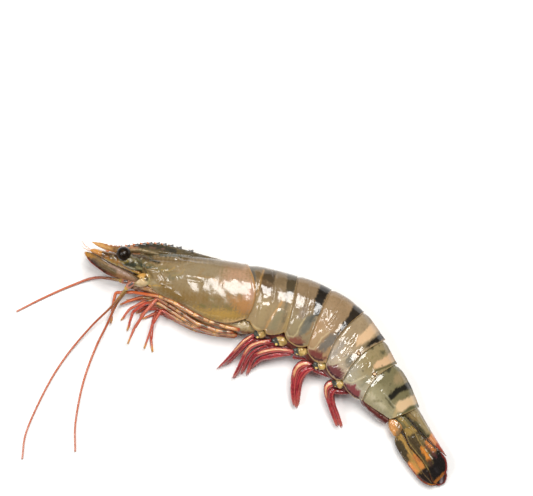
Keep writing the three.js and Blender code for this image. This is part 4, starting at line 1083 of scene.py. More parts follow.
headCore = {
    "upper": [(24, 8.6), (17, 8.2), (11.6, 6.4), (7.2, 4.8), (3.6, 2.8), (1.6, 1.4)],
    "lower": [(24, -1), (17, -2.6), (11, -3.2), (6.4, -3.6), (3.2, -3.2), (0.8, -2.2)],
    "thick": [6, 6.2, 5.4, 4.6, 3.6, 1.6],
    "stains": [
        ((3.2, 2.2, 5.4, 3.5), 0.2, 0.25, (216, 132, 78), 0.85),
        ((3.4, 1, 6.4, 2.6, 9, 3.6), 0.9, 0.7, (70, 52, 32), 0.9),
        # the two near-white dots are painted highlights
        ((4.6, 1.4), 0.25, 0.25, (226, 216, 190), 0.8), ((7.2, 2.4), 0.3, 0.3, (214, 204, 170), 0.7),
        ((8.6, 2.2, 10.4, 2.2), 0.5, 0.4, (126, 112, 72), 0.8),
        ((5.6, 4.3, 7.8, 5.4), 0.4, 0.4, (206, 176, 132), 0.7), ((8.6, 5.8, 12, 7.2), 0.7, 0.5, (112, 108, 82), 0.7),
    ],
}
mouth = {
    "upper": [(26, -2.6), (20, -3.4), (15, -4.2), (11.4, -5.2), (8.8, -6.6)],
    "lower": [(26, -7), (20.5, -7.8), (16.2, -8.6), (12.6, -10.2), (10, -10.8)],
    "levels": [10, 9.8, 9.8, 9.6, 9.4], "thick": [5.4, 5.8, 4.8, 3.4, 1.4],
    "stains": [
        ((11, -8.4, 14.6, -7.4, 18, -6.8), 0.8, 0.6, (184, 138, 92), 0.7),
        ((12.4, -9.6, 16.4, -8.4, 20, -7.6), 0.5, 0.5, (92, 52, 36), 0.8),
        ((10, -9.4, 11.6, -8.8), 0.5, 0.4, (196, 158, 116), 0.7),
    ],
}


def fleshPaint(name, dark, mid, pale, shift):
    paint = Paint(name, wetSkin)
    blot = paint.noise(2, 4, 0.6, shift)
    fine = paint.noise(0.8, 3, 0.6, 2)
    colour = paint.ramp(blot + (fine - 0.5) * 0.3, (0.34, dark), (0.5, mid), (0.68, pale))
    return paint.done(paint.stained(colour), blot + fine * 0.5, 0.3, 0.34)


core = stainedLeaf("headCore", headCore, [headPlane] * 4, (60, 48), 0.2, 2.4, 71)
finished(core, fleshPaint("headFlesh", (58, 50, 30), (98, 82, 50), (132, 114, 74), 8), "underside")
jaws = stainedLeaf("mouthParts", mouth, mouth["levels"], (60, 44), 0.3, 2, 73)
finished(jaws, fleshPaint("mouthFlesh", (104, 66, 42), (158, 116, 74), (190, 150, 106), 5), "underside")

scales = {
    "left": {
        "upper": [(-13.8, -8.3), (-12.4, -7.5), (-9.4, -6.7), (-4.5, -6.3), (1.3, -5.7), (7, -5), (11.6, -4.6)],
        "lower": [(-13.8, -8.5), (-12.2, -9.8), (-9.8, -10.7), (-5.2, -11.1), (-0.2, -11), (5, -9.2), (10.6, -7)],
        "levels": [15.6, 16, 16.4, 16.9, 17.2, 17.1, 16.6],
    },
    "right": {
        "upper": [(-13, -9.4), (-11.4, -8.4), (-8.2, -7.4), (-3.5, -7), (1.9, -6.6), (7, -6.2), (11.6, -5.6)],
        "lower": [(-13, -9.6), (-11.4, -10.4), (-9, -10.9), (-5, -11.1), (0.2, -11.3), (5.4, -9.6), (10.8, -7.2)],
        "levels": [3.8, 3.7, 3.5, 3.4, 3.7, 4.2, 4.6],
    },
    "thick": [0.2, 0.4, 0.5, 0.6, 0.8, 0.9, 0.9],
    "stains": [
        ((-13.6, -8.8, -12.2, -9, -10.8, -9.4), 0.8, 0.8, (206, 142, 54), 0.9),
        ((-12, -8.2, -9, -8), 0.5, 0.7, (166, 118, 46), 0.7),
        ((-10.8, -10.6, -5.5, -11, 0.4, -11), 1.3, 0.7, (44, 16, 14), 0.94),
        ((-1, -10.6, 2.4, -10), 0.8, 0.9, (128, 74, 56), 0.7),
        ((-12, -10, -8.3, -10.9, -3, -11.2), 0.16, 0.2, (176, 74, 52), 0.8),
        ((-6, -8.6, 0, -8.6, 5, -7.9), 1.1, 1, (92, 74, 40), 0.75),
        ((-8.4, -7.9, -2, -7.6), 0.4, 0.6, (150, 116, 66), 0.6),
        ((3.6, -9, 7, -8.4, 10, -7.6), 1, 1, (150, 106, 72), 0.8),
        ((2, -7.6, 6.4, -7, 9.6, -6.6), 0.5, 0.5, (164, 128, 102), 0.75),
        ((-12, -7.3, -10.4, -6.8, -7.1, -6.5, -4.5, -6.5, -1.9, -6.4, 1.3, -6.2), 0.2, 0.2, (34, 30, 30), 0.9),
        # the near-white line on the dark edge stripe is a painted highlight
        ((-6.4, -6.9, -2.6, -6.9), 0.12, 0.15, (206, 200, 196), 0.7),
        ((-2, -7.1, 2.4, -6.6, 7, -6.2), 0.45, 0.35, (160, 130, 112), 0.85),
        ((0, -6.2, 4, -5.6, 8, -5.2), 0.22, 0.2, (108, 84, 66), 0.8),
        # this pale line on the edge stripe is a painted highlight
        ((1, -6.8, 5, -6.5), 0.1, 0.12, (196, 176, 164), 0.7),
        ((-12.6, -7.6, -11.6, -7.1), 0.3, 0.3, (214, 176, 140), 0.8),
    ],
}


def scalePaint():
    paint = Paint("antennalScale", wetShell, Coat_Weight=0.18, Coat_Roughness=0.12)
    fine = paint.noise(1, 4, 0.65, 3)
    streak = paint.noise(0.8, 3, 0.6, 1, (0.18, 1.6, 1), -0.06)
    colour = paint.mixed((84, 62, 34), (112, 84, 48), paint.step(streak, 0.4, 0.6))
    colour = paint.stained(colour)
    colour = paint.mixed(colour, (78, 60, 34), paint.step(streak, 0.5, 0.7) * 0.3)
    return paint.done(colour, streak + shellGrain(paint) * 0.4, 0.16, 0.34 + fine * 0.15)


scaleMaterial = scalePaint()
for _, label, word in sides:
    spec = scales[label]
    leaf = leafSkin(f"antennalScale{word}", spec["upper"], spec["lower"], spec["levels"], scales["thick"], 110, 44, 1.6,
                    [(0.8, 0.35, 0.12)])
    stain(leaf, scales["stains"], 75)
    finished(leaf, scaleMaterial, "head_appendage", f"antennal_scale_{label}")

antennules = {
    "upper": [(-12.6, -6.6), (-12.3, -5.9), (-10.7, -4.9), (-7, -3.7), (-3, -1.9), (1.4, -2.2), (6, -2.4),
              (10.4, -2.6)],
    "lower": [(-12.7, -6.9), (-11.4, -7.2), (-8, -6.9), (-4.6, -6.5), (-0.8, -6.1), (3.2, -5.3), (7, -4.6),
              (10.6, -3.8)],
    "thick": [0.5, 1.1, 1.5, 1.8, 2.2, 2.2, 2.1, 1.8], "joints": [0.34, 0.63], "height": 2.8,
    "whips": [[(-12, -6.6), (-13.6, -6.6), (-16.1, -6.3), (-17.9, -5.6)],
              [(-12.4, -7.1), (-13.8, -7.4), (-15.2, -7.6), (-16.6, -7.5)]],
    "stains": [
        ((-12.2, -6.4, -9, -5.4, -6.8, -4.8), 1, 0.9, (206, 142, 62), 0.9),
        ((-11, -6.6, -8, -6.2), 0.5, 0.6, (186, 120, 54), 0.7),
        ((-6.8, -4.8, -4.6, -3.6, -2.4, -3), 1.2, 0.8, (54, 36, 22), 0.94),
        ((-3.4, -4.4, -1.2, -4), 0.7, 0.6, (96, 80, 48), 0.8),
        ((-3.2, -3.4), 0.25, 0.2, (196, 178, 130), 0.8), ((-2.6, -4.2), 0.22, 0.2, (150, 150, 130), 0.7),
        ((-1.8, -4.8, 1, -4.8), 0.6, 0.5, (150, 118, 72), 0.8),
        ((1, -4.6, 4, -4.6, 8, -3.8), 0.7, 0.6, (146, 112, 76), 0.7),
        ((2, -3.4, 6, -3.2), 0.6, 0.5, (104, 92, 58), 0.7),
        ((-5, -6.2, -1.1, -5.9, 1.5, -5.3, 4.2, -5, 6.5, -4.5, 8.7, -3.9, 10.2, -3.5), 0.34, 0.25, (190, 158, 52), 0.9),
    ],
}


def antennulePaint():
    paint = Paint("antennuleShell", wetShell)
    fine = paint.noise(0.9, 4, 0.65, 3)
    colour = paint.mixed((188, 130, 66), (150, 106, 58), paint.step(fine, 0.4, 0.65))
    colour = paint.mixed(paint.stained(colour), (206, 146, 112), paint.number("whip") * 0.7)
    return paint.done(colour, shellGrain(paint), 0.16, 0.32 + fine * 0.15)


antennuleMaterial = antennulePaint()
for side, label, word in sides:
    level = headPlane + side * antennules["height"]
    stem = leafSkin("stem", antennules["upper"], antennules["lower"], [level] * 4, antennules["thick"], 100, 36)
    along = marked(stem, "along")
    seams = sum(0.3 * hump(along, joint, 0.012) for joint in antennules["joints"])
    push(stem, 0.08 * unevenness(stem, 1.6, 76) - seams)
    stain(stem, antennules["stains"], 77)
    parts = [stem]
    for run in antennules["whips"]:
        spots = [(*p, level) for p in smoothLine(run, np.linspace(0, 1, 14))]
        whip = tube("whip", spots, np.linspace(0.26, 0.1, 14), roundness=1)
        mark(whip, "whip", 1)
        parts.append(whip)
    finished(joinAll(f"antennule{word}", parts), antennuleMaterial, "head_appendage", f"antennule_{label}")

antennaBases = {
    "left": {"path": [(13, -0.8, 14.2), (13.2, -2.9, 14.9), (12.6, -5, 15.2), (10.8, -7, 15), (9.6, -8, 14.2)],
             "link": [(10.8, -6.4, 15), (10.2, -7.6, 14.9), (9.5, -9.4, 14.2), (9, -11, 13.2), (8.8, -12.4, 12.3)]},
    "right": {"path": [(11.8, -3.6, 6.8), (10.6, -5.6, 6.4), (9.2, -7.4, 6.2), (7.8, -8.8, 6)],
              "link": [(8.6, -8.6, 6.4), (7.4, -9.2, 6.2), (6.2, -9.8, 5.9), (5.2, -10.4, 5.7), (4.2, -10.6, 5.5)]},
    "half": [1.4, 2.7, 2.9, 2, 1], "thick": [1.3, 2, 2.1, 1.6, 0.8],
    "folds": [((10.4, -4.4, 11.8, -4.2, 13.6, -4.6, 15.6, -4.2), 0.5), ((10.2, -5.6, 10.8, -7, 11.4, -8.2), 0.45),
              ((12.8, -2, 14.2, -2.6, 14.6, -4.2), 0.4)],
    "stains": [
        ((11.8, -6.2, 13.6, -5.6, 15, -4.8), 1.4, 0.9, (214, 188, 146), 0.8),
        ((10.6, -4.6, 11.4, -2.8, 13, -2.8), 0.9, 0.7, (214, 158, 76), 0.9),
        ((9.8, -3, 10.6, -1.6, 12, -1.4), 0.5, 0.4, (62, 48, 26), 0.85),
        ((13.2, -3, 14.2, -3.4), 0.75, 0.5, (66, 62, 40), 0.85),
        ((14.6, -1.8, 15.4, -3.8, 15.2, -5.6), 0.4, 0.3, (176, 166, 118), 0.8),
        ((12.6, -0.4, 14.4, -1.2), 0.6, 0.4, (118, 114, 72), 0.8),
        ((9.2, -4.6, 10, -5.6), 0.5, 0.4, (176, 132, 70), 0.7),
        ((12.4, -3.6, 13, -4.6), 0.3, 0.3, (236, 196, 120), 0.7),
    ],
}


def basePaint():
    paint = Paint("antennaBase", wetShell)
    along = paint.number("along")
    fine = paint.noise(0.9, 4, 0.65, 3)
    blot = paint.noise(1.7, 3, 0.6, 12)
    bulb = paint.stained(paint.mixed((150, 124, 76), (176, 146, 98), paint.step(blot, 0.4, 0.6)))
    rod = paint.mixed((204, 132, 104), (92, 84, 84),
                      paint.band(along, 0.2, 0.56, 0.05) * paint.step(paint.number("upward"), 0.72, 0.9))
    rod = paint.mixed(rod, (202, 164, 76), paint.step(along, 0.7, 0.78) * 0.95)
    return paint.done(paint.mixed(bulb, rod, paint.number("link")), shellGrain(paint), 0.16, 0.3 + fine * 0.15)


baseMaterial = basePaint()
for _, label, word in sides:
    spec = antennaBases[label]
    bulb = bladeSkin("bulb", spec["path"], antennaBases["half"], antennaBases["thick"], 44, 44)
    folds = sum(0.34 * (1 - ease(distanceTo(planOf(bulb), line), 0, wide)) for line, wide in antennaBases["folds"])
    push(bulb, 0.16 * unevenness(bulb, 2, 78) - (folds if label == "left" else 0))
    stain(bulb, antennaBases["stains"] if label == "left" else [], 79)
    path = smoothLine(spec["link"], np.linspace(0, 1, 20))
    wide = np.interp(np.linspace(0, 1, 20), [0, 0.1, 0.5, 0.68, 0.74, 0.82, 0.92, 1],
                     [0.8, 1.2, 1.15, 1.2, 0.85, 1.1, 0.9, 0.5])
    rod = tube("rod", path, wide, roundness=4)
    mark(rod, "link", 1)
    finished(joinAll(f"antennaBase{word}", [bulb, rod]), baseMaterial, "head_appendage", f"antenna_base_{label}")
print("head pieces done")


feelers = {
    "Left": [(8.8, -12, 12.4), (7.9, -21.2, 8.6), (5.2, -34, 4), (3.4, -50, 1.1), (3.9, -66, .75), (7.2, -86, .6),
             (12.3, -97, .5)],
    "Right": [(4.4, -10.6, 5.5), (-4.8, -15.6, 2.8), (-11.3, -23.8, 1.1), (-18.6, -35.4, .75), (-24.7, -46.3, .5)],
    "Inner": [(9.3, -12.6, 10.6), (9, -20, 7), (10.4, -29.8, 3.2), (11.9, -41, 1.1), (15.8, -56, .75),
              (22.4, -71.4, .6), (29.2, -81.8, .5)],
    "thick": {"Left": (0.54, 0.38), "Right": (0.66, 0.42), "Inner": (0.62, 0.4)},
}


def feelerPaint():
    paint = Paint("feelerSkin", wetSkin)
    along, upward = paint.number("along"), paint.number("upward")
    blot = paint.noise(3, 3, 0.6, 1)
    colour = paint.ramp(along + (blot - 0.5) * 0.06, (0, (176, 146, 82)), (0.09, (156, 96, 52)), (0.22, (180, 88, 54)),
                        (0.5, (208, 116, 80)), (0.8, (206, 116, 84)), (1, (218, 146, 122)))
    # painted shade: darker red where the feeler turns away from up
    colour = paint.mixed(colour, (136, 64, 42), (1.0 - paint.step(upward, 0.3, 0.8)) * 0.55)
    return paint.done(colour, blot, 0.02, 0.4)


feelerMaterial = feelerPaint()
for word in ("Left", "Right", "Inner"):
    thick, thin = feelers["thick"][word]
    spots = smoothLine(feelers[word], np.linspace(0, 1, 110))
    whip = tube(f"feeler{word}", spots, thin + (thick - thin) * (1 - np.linspace(0, 1, 110)) ** 1.3, roundness=2)
    finished(whip, feelerMaterial, "feeler", f"feeler_{word.lower()}")
print("feelers done")

legs = {   # joints from the hip to the tip as (x, y, height)
    "maxilliped_left": [(29, -6.4, 7), (21.5, -8.6, 6.9), (16.2, -11.2, 6), (12.9, -15.2, 4.6), (10.2, -19.2, 3)],
    "leg_1_left": [(34, -6.2, 9.1), (26, -7.2, 9.4), (21.2, -8.8, 8.6), (17.6, -13, 6.4), (14.6, -18.6, 3.6),
                   (14.2, -24.4, 1.6)],
    "leg_2_left": [(44, -8, 11.4), (35.3, -8.8, 11.9), (23.4, -9.2, 11.2), (18.9, -12.4, 8), (16.5, -18.8, 4.8),
                   (18.8, -26.6, 2.2)],
    "leg_3_left": [(58, 0.6, 15.4), (52.6, -1.5, 16.2), (45.7, -3.3, 17.4), (38.6, -4.6, 18.5), (29.2, -5.1, 18.6),
                   (22.6, -6.4, 15.8), (12.3, -11.3, 9.4), (5.9, -15.9, 6.2), (8, -21.6, 4), (11.3, -28, 1.8)],
    "leg_4_left": [(56.4, -1.7, 13), (50.2, -5, 13.6), (41.5, -7.2, 13.9), (31.5, -7.2, 13.7), (22, -7.6, 13.2),
                   (20.9, -16, 11), (20.9, -24, 6.8), (22.2, -31.1, 4.6)],
    "leg_5_left": [(58.4, -2, 10.6), (49.6, -6.6, 10.8), (40.5, -9.4, 10), (33.6, -10.4, 9.2), (26, -11, 8.4),
                   (26.3, -18, 6.4), (29.1, -28.9, 3.2)],
    "maxilliped_right": [(29, -6.6, 4.4), (20.5, -9.6, 4.2), (14.8, -13.4, 2.8), (11.4, -16.2, 1.4)],
    "leg_1_right": [(34, -6.8, 5.5), (25, -9.6, 5.5), (19.6, -14.2, 2.2), (17.8, -18.4, 1.2)],
    "leg_2_right": [(41, -7.4, 5.8), (32.6, -10.4, 5.2), (25, -11.2, 4.4), (21, -14.2, 2.4), (19.8, -18.4, 1.2)],
    "leg_3_right": [(47, -6.4, 4), (37, -9.6, 2.5), (29, -10.4, 2), (24, -10.9, 1.5), (20, -13.4, 1.2),
                    (18.4, -17.6, 1.2)],
    "leg_4_right": [(52, -4.6, 7), (43, -8.8, 6.8), (36, -10.9, 4.2), (28.6, -11.6, 3.6), (24.4, -14.2, 1.6),
                    (21.4, -19, 1.2)],
    "leg_5_right": [(58.2, -3, 6.4), (50.6, -7.2, 4.4), (42, -10.6, 1.9), (32.4, -11.8, 1.5), (24.4, -12.8, 1.4),
                    (26, -18.2, 1.3), (29.4, -24.4, 1.2), (32.8, -28.2, 1.2)],
}
legSizes = {"radius": [0.88, 0.84, 0.8, 0.76, 0.72, 0.4], "slender": 0.9}   # a share of the radius


def wordsOf(node):                   # leg_1_left becomes leg1Left
    first, *rest = node.split("_")
    return first + "".join(part.capitalize() for part in rest)


def legPaint(seed, dark, cool, low):
    paint = Paint(f"legSkin{seed}", wetSkin)
    along, segment, upward = paint.number("along"), paint.number("segment"), paint.number("upward")
    blot = paint.noise(2.6, 3, 0.6, seed * 1.7)
    fine = paint.noise(0.7, 3, 0.6, seed * 2.3, (0.4, 1.4, 1))
    wander = (blot - 0.5) * 0.2
    edge = paint.mixed((206, 128, 68), (186, 86, 58), paint.step(blot, 0.42, 0.6))
    # core is the colour of a painted highlight along the top of each leg, where it faces up
    core = paint.mixed((214, 172, 122), (196, 156, 130), cool)
    patch = paint.band(segment + wander, 0.42, 0.78, 0.05)
    patch = patch * paint.step(paint.noise(6, 2, 0.5, seed * 3.1), 0.42, 0.5)
    upper = paint.coats(
        edge, (core, paint.step(upward + (fine - 0.5) * 0.24, 0.74, 0.86)),
        ((232, 176, 106), paint.step(segment, 0.86, 0.97) * 0.9),
        ((58, 52, 36), patch * paint.step(upward, 0.55, 0.75) * dark),
    )
    # painted shade: darker red towards the sides of the lower leg; painted highlight: pale flecks along its top
    lower = paint.coats(
        low, ((160, 44, 38), (1.0 - paint.step(upward + (fine - 0.5) * 0.3, 0.4, 0.75)) * 0.75),
        ((230, 168, 142), paint.step(upward, 0.84, 0.95) * paint.step(fine, 0.4, 0.6) * 0.7),
        ((232, 166, 84), paint.step(along, 0.93, 0.985) * 0.9),
    )
    colour = paint.mixed(upper, lower, paint.step(along + wander * 0.4, 0.5, 0.62))
    return paint.done(colour, fine + blot * 0.4, 0.12, 0.32)


def buildLeg(name, joints):
    spots, radii, shares = jointedStations(joints, legSizes["radius"])
    radii = np.array(radii) * (legSizes["slender"] if "maxilliped" in name or "_1_" in name else 1)
    limb = tube("limb", spots, radii, shares, 4)
    groove = hump(marked(limb, "upward"), 1, 0.16) * (1 - ease(marked(limb, "along"), 0.5, 0.62))
    push(limb, -0.14 * groove)
    parts = [limb]
    if any(f"_{n}_" in name for n in (1, 2, 3)):     # the small claw's second finger
        a, b = np.array(joints[-2], float), np.array(joints[-1], float)
        way = (b - a) / np.linalg.norm(b - a)
        beside = np.array([-way[1], way[0], 0]) * 0.42
        path = [a + (b - a) * f + beside * s for f, s in ((0.55, 0.2), (0.68, 1), (0.84, 1.1), (0.98, 0.5))]
        parts.append(tube("finger", smoothLine(path, np.linspace(0, 1, 8)), np.linspace(0.36, 0.1, 8), roundness=2))
        mark(parts[-1], "along", 0.93)
        mark(parts[-1], "segment", 0.5)
    return joinAll(wordsOf(name), parts)


legMaterials = [
    legPaint(1, 0.7, 0.1, (208, 106, 58)), legPaint(2, 0.85, 0.6, (208, 108, 82)), legPaint(3, 0.6, 0.3, (194, 76, 56)),
]
for n, (name, joints) in enumerate(legs.items()):
    finished(buildLeg(name, joints), legMaterials[n % 3], "leg", name)
print("legs done")

sternum = {
    "path": [(16, -4.6, 10.2), (26, -4.8, 10), (38, -4, 10), (49, -1.6, 9.8), (59, 3.4, 9.6)],
    "half": [1.6, 2.4, 2.6, 2.8, 2.4], "thick": [4, 6, 6.6, 6.6, 5],
}


def undersidePaint():
    paint = Paint("undersideSkin", wetSkin)
    blot = paint.noise(2.4, 4, 0.6, 8)
    colour = paint.ramp(blot, (0.3, (120, 84, 50)), (0.5, (186, 148, 96)), (0.7, (206, 176, 130)))
    return paint.done(colour, blot, 0.4, 0.35)


belly = bladeSkin("sternum", sternum["path"], sternum["half"], sternum["thick"], 80, 40)
push(belly, 0.3 * unevenness(belly, 4, 90))
finished(belly, undersidePaint(), "underside", "sternum")
print("underside done")


def copies(name, model, matrices):   # one mesh that holds a copy of a small model for each matrix
    base = coordinates(model)
    faces = [tuple(f.vertices) for f in model.data.polygons]
    spots = np.concatenate([base @ np.asarray(m)[:3, :3].T + np.asarray(m)[:3, 3] for m in matrices])
    everyFace = [tuple(v + k * len(base) for v in f) for k in range(len(matrices)) for f in faces]
    data = bpy.data.meshes.new(name)
    data.from_pydata([tuple(p) for p in spots], [], everyFace)
    data.update()
    made = bpy.data.objects.new(name, data)
    bpy.context.scene.collection.objects.link(made)
    mark(made, "along", np.tile(base[:, 2], len(matrices)))
    setCoordinates(made, coordinates(made))
    return made


def buildBristle():                  # one hair, 1 long and thin
    deselectAll()
    bpy.ops.mesh.primitive_cone_add(vertices=4, radius1=0.5, radius2=0.12, depth=1, location=(0, 0, 0.5))
    hair = bpy.context.active_object
    applyPlace(hair)
    return hair


bristle = buildBristle()


def hairMatrix(root, way, length, width, lift):
    z = np.array([way[0], way[1], lift], float)
    z /= np.linalg.norm(z)
    x = np.cross(z, [0, 0, 1])
    x /= np.linalg.norm(x)
    y = np.cross(z, x)
    m = np.eye(4)
    m[:3, 0], m[:3, 1], m[:3, 2] = x * width * mm, y * width * mm, z * length * mm
    m[:3, 3] = place(*root)
    return m


def fringe(upper, lower, levels, edges, span, count, length, width, spread, lift=0):
    # hairs along a leaf's edges: 1 is the upper one, -1 the lower one; span holds the shares of its length
    found = []
    for edge in edges:
        for k in range(count):
            t = span[0] + (span[1] - span[0]) * (k + luck.random() * 0.6) / count
            one, other = (upper, lower) if edge > 0 else (lower, upper)
            root, behind, across = smoothLine(one, t)[0], smoothLine(one, t - 0.02)[0], smoothLine(other, t)[0]
            ahead = (root - behind) / np.linalg.norm(root - behind)
            out = (root - across) / max(np.linalg.norm(root - across), 0.01)
            start = (root[0] - out[0] * 0.1, root[1] - out[1] * 0.1,
                     smoothValue(levels, t)[0] + luck.uniform(-0.1, 0.1))
            turn = spread + luck.uniform(-0.2, 0.2)
            way = ahead * math.cos(turn) + out * math.sin(turn)
            found.append(hairMatrix(start, way, length * luck.uniform(0.7, 1.2), width, lift + luck.uniform(-0.1, 0.1)))
    return found


swimmerets = {   # bulb on the flank, branches between their outer and inner edges, the folded inner branch
    1: {"bulb": [(68.2, 5.6), (65.9, 4.2), (63.8, 2.9)], "knob": (66, 2.3), "level": 14, "branches": [
        ([(63.6, 2.6), (61.6, -1.1), (60.8, -5), (60.3, -9.2), (59.7, -14), (59.2, -17.4)],
         [(65, 1.6), (63.3, -2.1), (62.5, -6), (61.9, -10), (61.1, -13.8), (60.2, -17)]),
        ([(64.2, 1), (62.8, -3), (62.1, -6.6), (61.6, -10), (61.2, -13.6)],
         [(65.8, 0.4), (64.4, -3), (63.8, -6.4), (63.2, -9.8), (62.6, -13)])],
        "folded": ([(65.4, 1.6), (69, 2.6), (73, 5.2)], [(65.2, -0.4), (69.2, 0.6), (74, 3.2)])},
    2: {"bulb": [(77.4, 7.8), (74.8, 6.4), (71.7, 4.9)], "knob": (74.2, 4.2), "level": 13.2, "branches": [
        ([(71, 4.8), (67.8, 2.1), (65.2, -0.9), (64.4, -4.4), (64.9, -8.4), (65.6, -12.3), (66.1, -15.9), (66.5, -18)],
         [(72, 2.9), (68.7, -0.1), (66.9, -3.2), (66.5, -6.7), (67.1, -9.9), (67.6, -13.2), (67.9, -16)]),
        ([(70.6, 1.6), (67.8, -2.6), (67, -6.2), (67.3, -9.9), (68, -13.7)],
         [(72, 1.4), (69.4, -1.6), (68.4, -5.4), (68.6, -9.2), (69.2, -12.6)])],
        "folded": ([(69.4, 0.2), (73.1, 2.7), (78, 6), (82, 8.2)],
                   [(69.6, -3.2), (72.6, -0.4), (76.6, 2.4), (81, 5.2)])},
    3: {"bulb": [(87.2, 9), (84.3, 7.5), (81.3, 6.4)], "knob": (83.7, 5.8), "level": 12.6, "branches": [
        ([(81.6, 6.4), (77.3, 4.6), (73.4, 2.1), (70.1, -1.3), (68.3, -4.6), (68.4, -7.6), (69.4, -10.4),
          (70.4, -13.2)],
         [(82.4, 4.7), (77.7, 2.4), (74.4, -0.4), (71.9, -3.5), (70.5, -6.1), (70.7, -8.5), (71.3, -12)]),
        ([(80.4, 4.2), (76.4, 1.6), (72.8, -2.2), (71, -5.6), (71, -9)],
         [(82.2, 3.6), (78.6, 0.4), (75.6, -2.8), (73.4, -5.2), (72.2, -8.6)])],
        "folded": ([(82.2, 5.4), (86.1, 6.6), (90.2, 8.4)], [(83.2, 2.8), (87, 4.8), (91.6, 7)])},
    4: {"bulb": [(97.2, 8.3), (94.4, 7.3), (91.4, 6)], "knob": (93.6, 5.3), "level": 12, "branches": [
        ([(91.4, 5.9), (88.6, 5.6), (86.2, 3.6), (85.5, 0.4), (86.4, -3), (88.2, -6.2), (90.2, -9.3), (92.4, -11.8),
          (93.8, -13)],
         [(90.6, 3.8), (89.6, 2.6), (88.8, 0.9), (89, -1.1), (90.3, -4.1), (92.2, -7.6), (93.9, -10.6), (95, -12.4)]),
        ([(91.4, 4.6), (88.9, 2.6), (88.2, 0.6), (88.7, -2.4), (90.1, -5.9), (92.1, -9.5), (94.4, -12.6)],
         [(93.6, 4), (92.4, 1.6), (92, -1.2), (92.7, -4.3), (94.3, -7.8), (96.3, -11.8)])],
        "folded": ([(91.6, 5.2), (96, 5.8), (101.6, 7.2)], [(92.6, 3.1), (97.2, 3.8), (103, 5.4)])},
    5: {"bulb": [(107.6, 6.4), (105.2, 5.2), (102.4, 4)], "knob": (104.6, 3.6), "level": 11, "branches": [
        ([(103.4, 5), (101.4, 4.2), (100.3, 2.2), (101, -0.2), (102.7, -2.3), (105.2, -4.4), (108.6, -7), (111.8, -9.2),
          (113.4, -10.3)],
         [(103.8, 2.2), (103.4, 1), (103.9, -0.6), (105.8, -2.6), (109, -5), (112.2, -7.3), (114.9, -9.4)]),
        ([(103.8, 2), (103.6, 0.2), (104.9, -1.9), (107.2, -4.1), (110.4, -6.3), (113.9, -8.8)],
         [(106.4, 2), (106.2, 0.2), (107.2, -1.6), (109.6, -4), (112.5, -6), (116.3, -8.9)])],
        "folded": ([(103.6, 1.8), (106.2, 2.9), (110.4, 5.3)], [(105, -0.1), (108.9, 1.9), (112.2, 4.3)])},
    "bulbHalf": [0.7, 1.9, 2.2, 1.8, 0.7], "bulbThick": [0.7, 1.7, 1.9, 1.6, 0.7],
    "branchThick": [0.9, 0.8, 0.65, 0.45, 0.2],
    "ribs": [(0.6, 0.15, 0.15), (0.1, 0.2, 0.15), (-0.45, 0.15, 0.15)], "tips": (3.6, 0.9), "farShift": (0.5, 0.5),
    "knobRadius": 0.55, "knobRise": 0.9, "sideGap": 7.2,
}


def swimmeretPaint():
    paint = Paint("swimmeretSkin", wetSkin)
    along, across, kind = paint.number("along"), paint.number("across"), paint.number("kind")
    fine = paint.noise(0.7, 3, 0.6, 3)
    blot = paint.noise(1.8, 3, 0.6, 3)
    line = across + (blot - 0.5) * 0.35
    root = paint.band(along, 0.06, 0.44, 0.05) * paint.band(line, -0.2, 0.5, 0.08)
    red = paint.coats(
        (186, 62, 68), ((146, 36, 46), paint.step(blot, 0.42, 0.62)),
        ((84, 22, 32), paint.band(line, 0.28, 0.44, 0.07) * 0.7),
        # this pale pink streak is a painted highlight
        ((220, 132, 116), paint.band(line, 0.54, 0.74, 0.05) * paint.step(fine, 0.42, 0.6) * 0.8),
        ((76, 18, 28), paint.band(line, -0.34, -0.18, 0.08) * 0.65),
        # this pale pink streak is a painted highlight
        ((222, 132, 110), paint.band(line, -0.74, -0.5, 0.09) * 0.5),
        ((220, 128, 108), paint.step(along + (fine - 0.5) * 0.3, 0.66, 1) * 0.75),
        ((234, 176, 128), root * (1.0 - paint.step(kind, 0.1, 0.3)) * 0.95),
        ((100, 88, 62), paint.step(across, 0.78, 0.92) * (1.0 - paint.step(along, 0.3, 0.5)) * 0.8),
    )
    folded = paint.coats(
        (146, 50, 54), ((96, 34, 38), paint.step(fine, 0.4, 0.6)),
        ((206, 100, 88), paint.band(across, -0.96, -0.7, 0.1) * 0.5),
    )
    gold = paint.coats(
        (216, 182, 114), ((178, 146, 84), paint.step(blot, 0.4, 0.6)),
        ((44, 60, 64), paint.step(along + (fine - 0.5) * 0.25 + across * 0.16, 0.62, 0.7) * 0.92),
        ((118, 46, 44), paint.step(across * -1, 0.62, 0.85) * 0.85),
        ((236, 196, 110), paint.step(kind, 2.5, 2.6)),
    )
    both = paint.mixed(red, folded, paint.step(kind, 0.4, 0.6))
    return paint.done(paint.mixed(both, gold, paint.step(kind, 1.4, 1.6)), blot * 0.6 + fine * 0.5, 0.2, 0.28)


hairFinish = {
    "Roughness": 0.45, "Specular_IOR_Level": 0.4, "Subsurface_Weight": 0.1,
    "Subsurface_Radius": (0.001, 0.0004, 0.0003),
}


def bristlePaint(name, colour, tip):
    paint = Paint(name, hairFinish)
    along = paint.number("along")
    return paint.done(paint.mixed(colour, tip, paint.step(along, 0.3, 1)))


